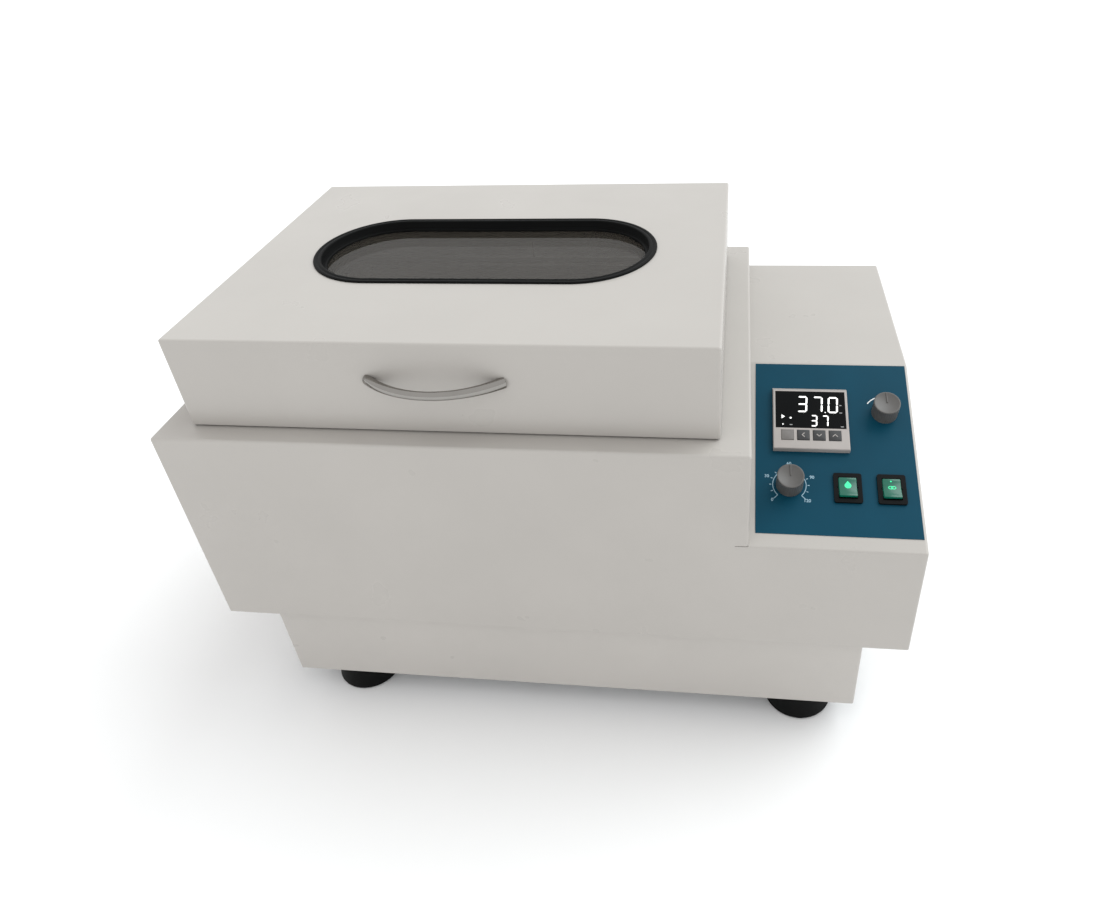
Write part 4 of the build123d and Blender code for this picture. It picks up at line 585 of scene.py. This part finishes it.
def segment_shapes(width, height, thick):
    """Outlines of the seven segments of a digit, centred on the origin."""
    half = height / 2
    reach = width / 2 - thick / 2
    gap = thick * SEGMENT_GAP
    tip = thick / 2

    def bar(x, y, length, upright):
        span = length / 2 - gap
        inner = span - tip
        flat = [(-span, 0), (-inner, tip), (inner, tip), (span, 0), (inner, -tip), (-inner, -tip)]
        return [(x + v, y + u) if upright else (x + u, y + v) for u, v in flat]

    top = half - thick / 2
    return {
        "a": bar(0, top, 2 * reach, False),
        "b": bar(reach, top / 2, top, True),
        "c": bar(reach, -top / 2, top, True),
        "d": bar(0, -top, 2 * reach, False),
        "e": bar(-reach, -top / 2, top, True),
        "f": bar(-reach, top / 2, top, True),
        "g": bar(0, 0, 2 * reach, False),
    }


def display():
    """Lit digits and lamps on the dark window of the controller."""
    low, high = panel_box("display_window")
    corner = Vector((low.x, high.y, high.z))

    def spot(across, down):
        return on_panel(corner.x + across * MM, corner.y - down * MM, corner.z)

    def add_glow(name, bm, across, down, material=GLOW_WHITE):
        add_piece(name, bm, "housing", "display_black", material, spot(across, down))

    rows = ((BIG_DIGITS, BIG_DIGIT), (SMALL_DIGITS, SMALL_DIGIT))
    for row, (places, (width, height, thick)) in enumerate(rows):
        shapes = segment_shapes(width * MM, height * MM, thick * MM)
        for number, (digit, across, down) in enumerate(places):
            bm = bmesh.new()
            for name in SEGMENTS[digit]:
                blob(bm, [(x + y * math.tan(DIGIT_LEAN), y) for x, y in shapes[name]])
            add_glow(f"digit_{row}_{number}", bm, across, down)
    bm = bmesh.new()
    blob(bm, dot_points(POINT_RADIUS * MM))
    add_glow("decimal_point", bm, *POINT_PLACE)
    for number, (across, down, size) in enumerate(LAMP_TRIANGLES):
        bm = bmesh.new()
        reach = size * MM
        blob(bm, [(-reach * 0.4, -reach * 0.7), (reach * 0.6, 0), (-reach * 0.4, reach * 0.7)])
        add_glow(f"lamp_triangle_{number}", bm, across, down)
    for number, (across, down, size) in enumerate(LAMP_DOTS):
        bm = bmesh.new()
        blob(bm, dot_points(size * MM))
        add_glow(f"lamp_dot_{number}", bm, across, down)
    for number, (across, down, size) in enumerate(LAMP_DASHES):
        bm = bmesh.new()
        stroke(bm, [(-size * MM / 2, 0), (size * MM / 2, 0)], MARK_STROKE)
        add_glow(f"lamp_dash_{number}", bm, across, down, GLOW_DIM)


# Dial prints, in millimetres and degrees
SCALE_RADIUS = 15.4
SCALE_START = 225.0
SCALE_END = -45.0
SCALE_STEPS = 12
SCALE_ARC_STEPS = 72
SCALE_TICK = (16.6, 18.6)
SCALE_END_TICK = 20.6
LABEL_RADIUS = 22.6
PRINT_WIDTH = 0.7
SPEED_ARC = (18.4, 147.0, 114.0, 1.1)
NUMBER_SIZE = 4.4
NUMBER_SWELL = 0.08


def printed_number(text, x, s, name):
    """A printed number as a thin mesh on the label."""
    curve = bpy.data.curves.new(name, "FONT")
    curve.body = text
    curve.size = NUMBER_SIZE * MM
    curve.align_x = "CENTER"
    curve.align_y = "CENTER"
    curve.extrude = PRINT_HEIGHT / 2
    curve.offset = NUMBER_SWELL * MM
    holder = bpy.data.objects.new(name, curve)
    bpy.context.scene.collection.objects.link(holder)
    flat = bpy.data.meshes.new_from_object(holder.evaluated_get(bpy.context.evaluated_depsgraph_get()))
    bpy.data.objects.remove(holder)
    bm = bmesh.new()
    bm.from_mesh(flat)
    bpy.data.meshes.remove(flat)
    place = on_panel(x, s, LABEL_TOP + PRINT_HEIGHT / 2)
    add_piece(name, bm, "housing", "label_film", PRINT_PALE, place)


def scale_angle(mark):
    """Direction of a mark of the timer scale."""
    return math.radians(SCALE_START + (SCALE_END - SCALE_START) * mark / SCALE_STEPS)


def timer_scale():
    """The printed scale round the timer knob: an arc, a mark every ten minutes and a number every thirty."""
    centre = TO_PANEL @ Vector(JOINTS["timer_turn"]["pos_m"])
    bm = bmesh.new()
    arc = arc_points(SCALE_RADIUS * MM, SCALE_START, SCALE_END, SCALE_ARC_STEPS)
    stroke(bm, arc, PRINT_WIDTH * MM)
    for mark in range(SCALE_STEPS + 1):
        angle = scale_angle(mark)
        inner, outer = SCALE_TICK
        if mark in (0, SCALE_STEPS):
            inner, outer = SCALE_RADIUS, SCALE_END_TICK
        ends = [(r * MM * math.cos(angle), r * MM * math.sin(angle)) for r in (inner, outer)]
        stroke(bm, ends, PRINT_WIDTH * MM)
    place = on_panel(centre.x, centre.y, LABEL_TOP)
    add_piece("timer_scale", bm, "housing", "label_film", PRINT_PALE, place)
    for mark in range(0, SCALE_STEPS + 1, 3):
        angle = scale_angle(mark)
        x = centre.x + LABEL_RADIUS * MM * math.cos(angle)
        s = centre.y + LABEL_RADIUS * MM * math.sin(angle)
        printed_number(str(10 * mark), x, s, f"timer_number_{10 * mark}")


def speed_scale():
    """The printed stroke beside the speed knob."""
    centre = TO_PANEL @ Vector(JOINTS["speed_turn"]["pos_m"])
    radius, start, end, width = SPEED_ARC
    bm = bmesh.new()
    stroke(bm, arc_points(radius * MM, start, end), width * MM)
    place = on_panel(centre.x, centre.y, LABEL_TOP)
    add_piece("speed_scale", bm, "housing", "label_film", PRINT_WHITE, place)


# Rocker switches: side view in millimetres, u along the rocker and v out of it
ROCKER_HALF = 10.0
ROCKER_END_TOP = 3.4
ROCKER_WAIST = 2.0
ROCKER_WIDTH = 16.2
ROCKER_EDGE = 0.7
ROCKER_STEPS = 16
ROCKER_EDGE_STEPS = 4
ROCKER_CORNER = 0.5
ROCKER_SIDE = 0.4
ROCKER_DEPTH = 3.0
MARK_LIFT = (0.02, 0.08)
DROP_ARC = (130, 410)


def rocker_top(u):
    """Height of the rocker's hollow face at a place along it."""
    return ROCKER_WAIST + (ROCKER_END_TOP - ROCKER_WAIST) * (u / ROCKER_HALF) ** 2


def rocker_ring(inset, x):
    """The side view of the rocker, shrunk by an inset."""
    reach = ROCKER_HALF - inset
    points = []
    for step in range(ROCKER_STEPS + 1):
        u = reach * (2 * step / ROCKER_STEPS - 1)
        corner = min(reach - abs(u), ROCKER_CORNER) - ROCKER_CORNER
        points.append(Vector((x, u, rocker_top(u) - inset + corner * 0.8)) * MM)
    foot = -ROCKER_DEPTH + inset
    for u, v in ((reach, ROCKER_SIDE), (reach / 2, foot), (-reach / 2, foot), (-reach, ROCKER_SIDE)):
        points.append(Vector((x, u, v)) * MM)
    return points


def rocker_place(joint):
    """Placement of a rocker at rest, with its upper end pressed in."""
    tilt = math.radians(JOINTS[joint]["range_deg"][1] / 2)
    pivot = Vector(JOINTS[joint]["pos_m"])
    slope = math.atan2(UPHILL.z, UPHILL.y)
    return Matrix.Translation(pivot) @ Matrix.Rotation(slope - tilt, 4, "X")


def rocker(node, body, joint):
    """A hollow-faced rocker with rounded edges."""
    half = ROCKER_WIDTH / 2
    edge = []
    for step in range(ROCKER_EDGE_STEPS + 1):
        angle = math.radians(90 * step / ROCKER_EDGE_STEPS)
        edge.append((ROCKER_EDGE * (1 - math.sin(angle)), ROCKER_EDGE * (1 - math.cos(angle))))
    rings = [rocker_ring(inset, -half + along) for inset, along in edge]
    rings += [rocker_ring(inset, half - along) for inset, along in reversed(edge)]
    bm = bmesh.new()
    skin(bm, rings)
    cap = add_piece(f"{node}_cap", bm, body, "rocker_green", place=rocker_place(joint), angle=40)
    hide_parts(node)


def rocker_mark(name, outline, body, joint):
    """A lit symbol that follows the hollow face of a rocker. The outline is in millimetres."""
    rings = []
    for lift in MARK_LIFT:
        rings.append([Vector((x, u, rocker_top(u) + lift)) * MM for x, u in outline])
    bm = bmesh.new()
    skin(bm, rings)
    add_piece(name, bm, body, "rocker_green", GLOW_GREEN, rocker_place(joint))


def drop_outline(x, u, radius, point):
    """A round drop with its point upwards."""
    return arc_points(radius, *DROP_ARC, centre=(x, u)) + [(x, u + point)]


def ring_segment(x, u, wide, high, thick, start, end):
    """Part of an oval ring as a closed outline."""
    outline = []
    for inset, ends in ((0, (start, end)), (thick, (end, start))):
        for across, up in arc_points(1.0, *ends, steps=14):
            outline.append((x + (wide - inset) * across, u + (high - inset) * up))
    return outline


def rockers():
    """The two green rockers: a drop for heating, two ovals and a dot for shaking."""
    rocker("heat_rocker", "heat_switch", "heat_rock")
    rocker_mark("heat_mark", drop_outline(0, 1.6, 3.1, 4.9), "heat_switch", "heat_rock")
    rocker("shake_rocker", "shake_switch", "shake_rock")
    rocker_mark("shake_dot", dot_points(0.75, (-0.6, 7.4)), "shake_switch", "shake_rock")
    for side, middle in (("left", -1.3), ("right", 1.3)):
        for part, (start, end) in (("upper", (0, 180)), ("lower", (180, 360))):
            outline = ring_segment(middle, 0.9, 2.3, 1.8, 0.7, start, end)
            rocker_mark(f"shake_oval_{side}_{part}", outline, "shake_switch", "shake_rock")


# Seam of the liner
SEAM_SIZE = (1.3 * MM, 44 * MM, 0.5 * MM)
SEAM_CORNER = 0.4 * MM
SEAM_EDGE = 0.2 * MM
SEAM_ACROSS = 6 * MM
SEAM_HEIGHT = 23 * MM
SEAM_INSET = 17.5 * MM


def liner_seam():
    """The short folded seam on the rear wall of the lid's liner, coloured dark as painted shade of its slit."""
    low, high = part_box("lid_liner")
    wall_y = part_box("lid_shell")[1].y - SEAM_INSET
    width, length, thickness = SEAM_SIZE
    bm = bmesh.new()
    rounded_plate(bm, width, length, SEAM_CORNER, 0, thickness, SEAM_EDGE)
    centre = Vector(((low.x + high.x) / 2 + SEAM_ACROSS, wall_y, low.z + SEAM_HEIGHT))
    place = Matrix.Translation(centre) @ Matrix.Rotation(math.radians(90), 4, "X")
    # The seam is coloured with painted shade, not a colour of its own.
    add_piece("liner_seam", bm, "lid", "stainless", SEAM_PAINTED_SHADE, place)


# Stage
def add_floor():
    """A wide pale floor."""
    bm = bmesh.new()
    bmesh.ops.create_grid(bm, x_segments=1, y_segments=1, size=FLOOR_REACH)
    mesh = bpy.data.meshes.new("floor")
    bm.to_mesh(mesh)
    bm.free()
    mesh.materials.append(surface("floor_white", (246, 246, 246), (0.55, 0.7), patch=0.4, spread=0.004,
                                  grain=0.004, relief=0.00001, specular=0.2))
    floor = bpy.data.objects.new("floor", mesh)
    bpy.context.scene.collection.objects.link(floor)


def add_sun():
    """A broad soft light from above, behind and to the right, far enough away to light the floor evenly."""
    data = bpy.data.lights.new("key", "SUN")
    data.energy = SUN_STRENGTH
    data.angle = SUN_WIDTH
    data.color = SUN_COLOUR
    light = bpy.data.objects.new("key", data)
    light.rotation_mode = "QUATERNION"
    light.rotation_quaternion = (-Vector(SUN_FROM)).to_track_quat("-Z", "Y")
    bpy.context.scene.collection.objects.link(light)


def add_world():
    """Even white light from all round."""
    world = bpy.data.worlds.new("studio")
    world.use_nodes = True
    background = world.node_tree.nodes["Background"]
    background.inputs["Color"].default_value = (1, 1, 1, 1)
    background.inputs["Strength"].default_value = WORLD_STRENGTH
    bpy.context.scene.world = world


def add_camera():
    """The photograph's camera: its place, direction and small roll, and the shift of its frame."""
    data = bpy.data.cameras.new("photo_camera")
    data.sensor_fit = "HORIZONTAL"
    data.sensor_width = SENSOR_WIDTH
    data.lens = SENSOR_WIDTH * FOCAL_PIXELS / PHOTO_WIDTH
    data.shift_x = (PHOTO_WIDTH / 2 - PRINCIPAL_PIXEL[0]) / PHOTO_WIDTH
    data.shift_y = (PRINCIPAL_PIXEL[1] - PHOTO_HEIGHT / 2) / PHOTO_WIDTH
    data.clip_start, data.clip_end = CAMERA_CLIP
    forward = Vector((
        -math.sin(CAMERA_AZIMUTH) * math.cos(CAMERA_ELEVATION),
        math.cos(CAMERA_AZIMUTH) * math.cos(CAMERA_ELEVATION),
        -math.sin(CAMERA_ELEVATION),
    ))
    camera = bpy.data.objects.new("photo_camera", data)
    camera.location = CAMERA_PLACE
    camera.rotation_mode = "QUATERNION"
    camera.rotation_quaternion = Quaternion(forward, CAMERA_ROLL) @ forward.to_track_quat("-Z", "Y")
    bpy.context.scene.collection.objects.link(camera)
    bpy.context.scene.camera = camera


def set_colours():
    """Plain screen colours, and denoising of the render."""
    scene = bpy.context.scene
    scene.view_settings.view_transform = "Standard"
    scene.view_settings.look = "None"
    scene.cycles.use_denoising = True


dress_nodes()
window_gasket()
lid_handle()
dial_knob("timer_knob", "timer_dial", "timer_turn")
dial_knob("speed_knob", "speed_dial", "speed_turn")
key_marks()
display()
timer_scale()
speed_scale()
rockers()
liner_seam()

add_floor()
add_world()
add_sun()
add_camera()
set_colours()
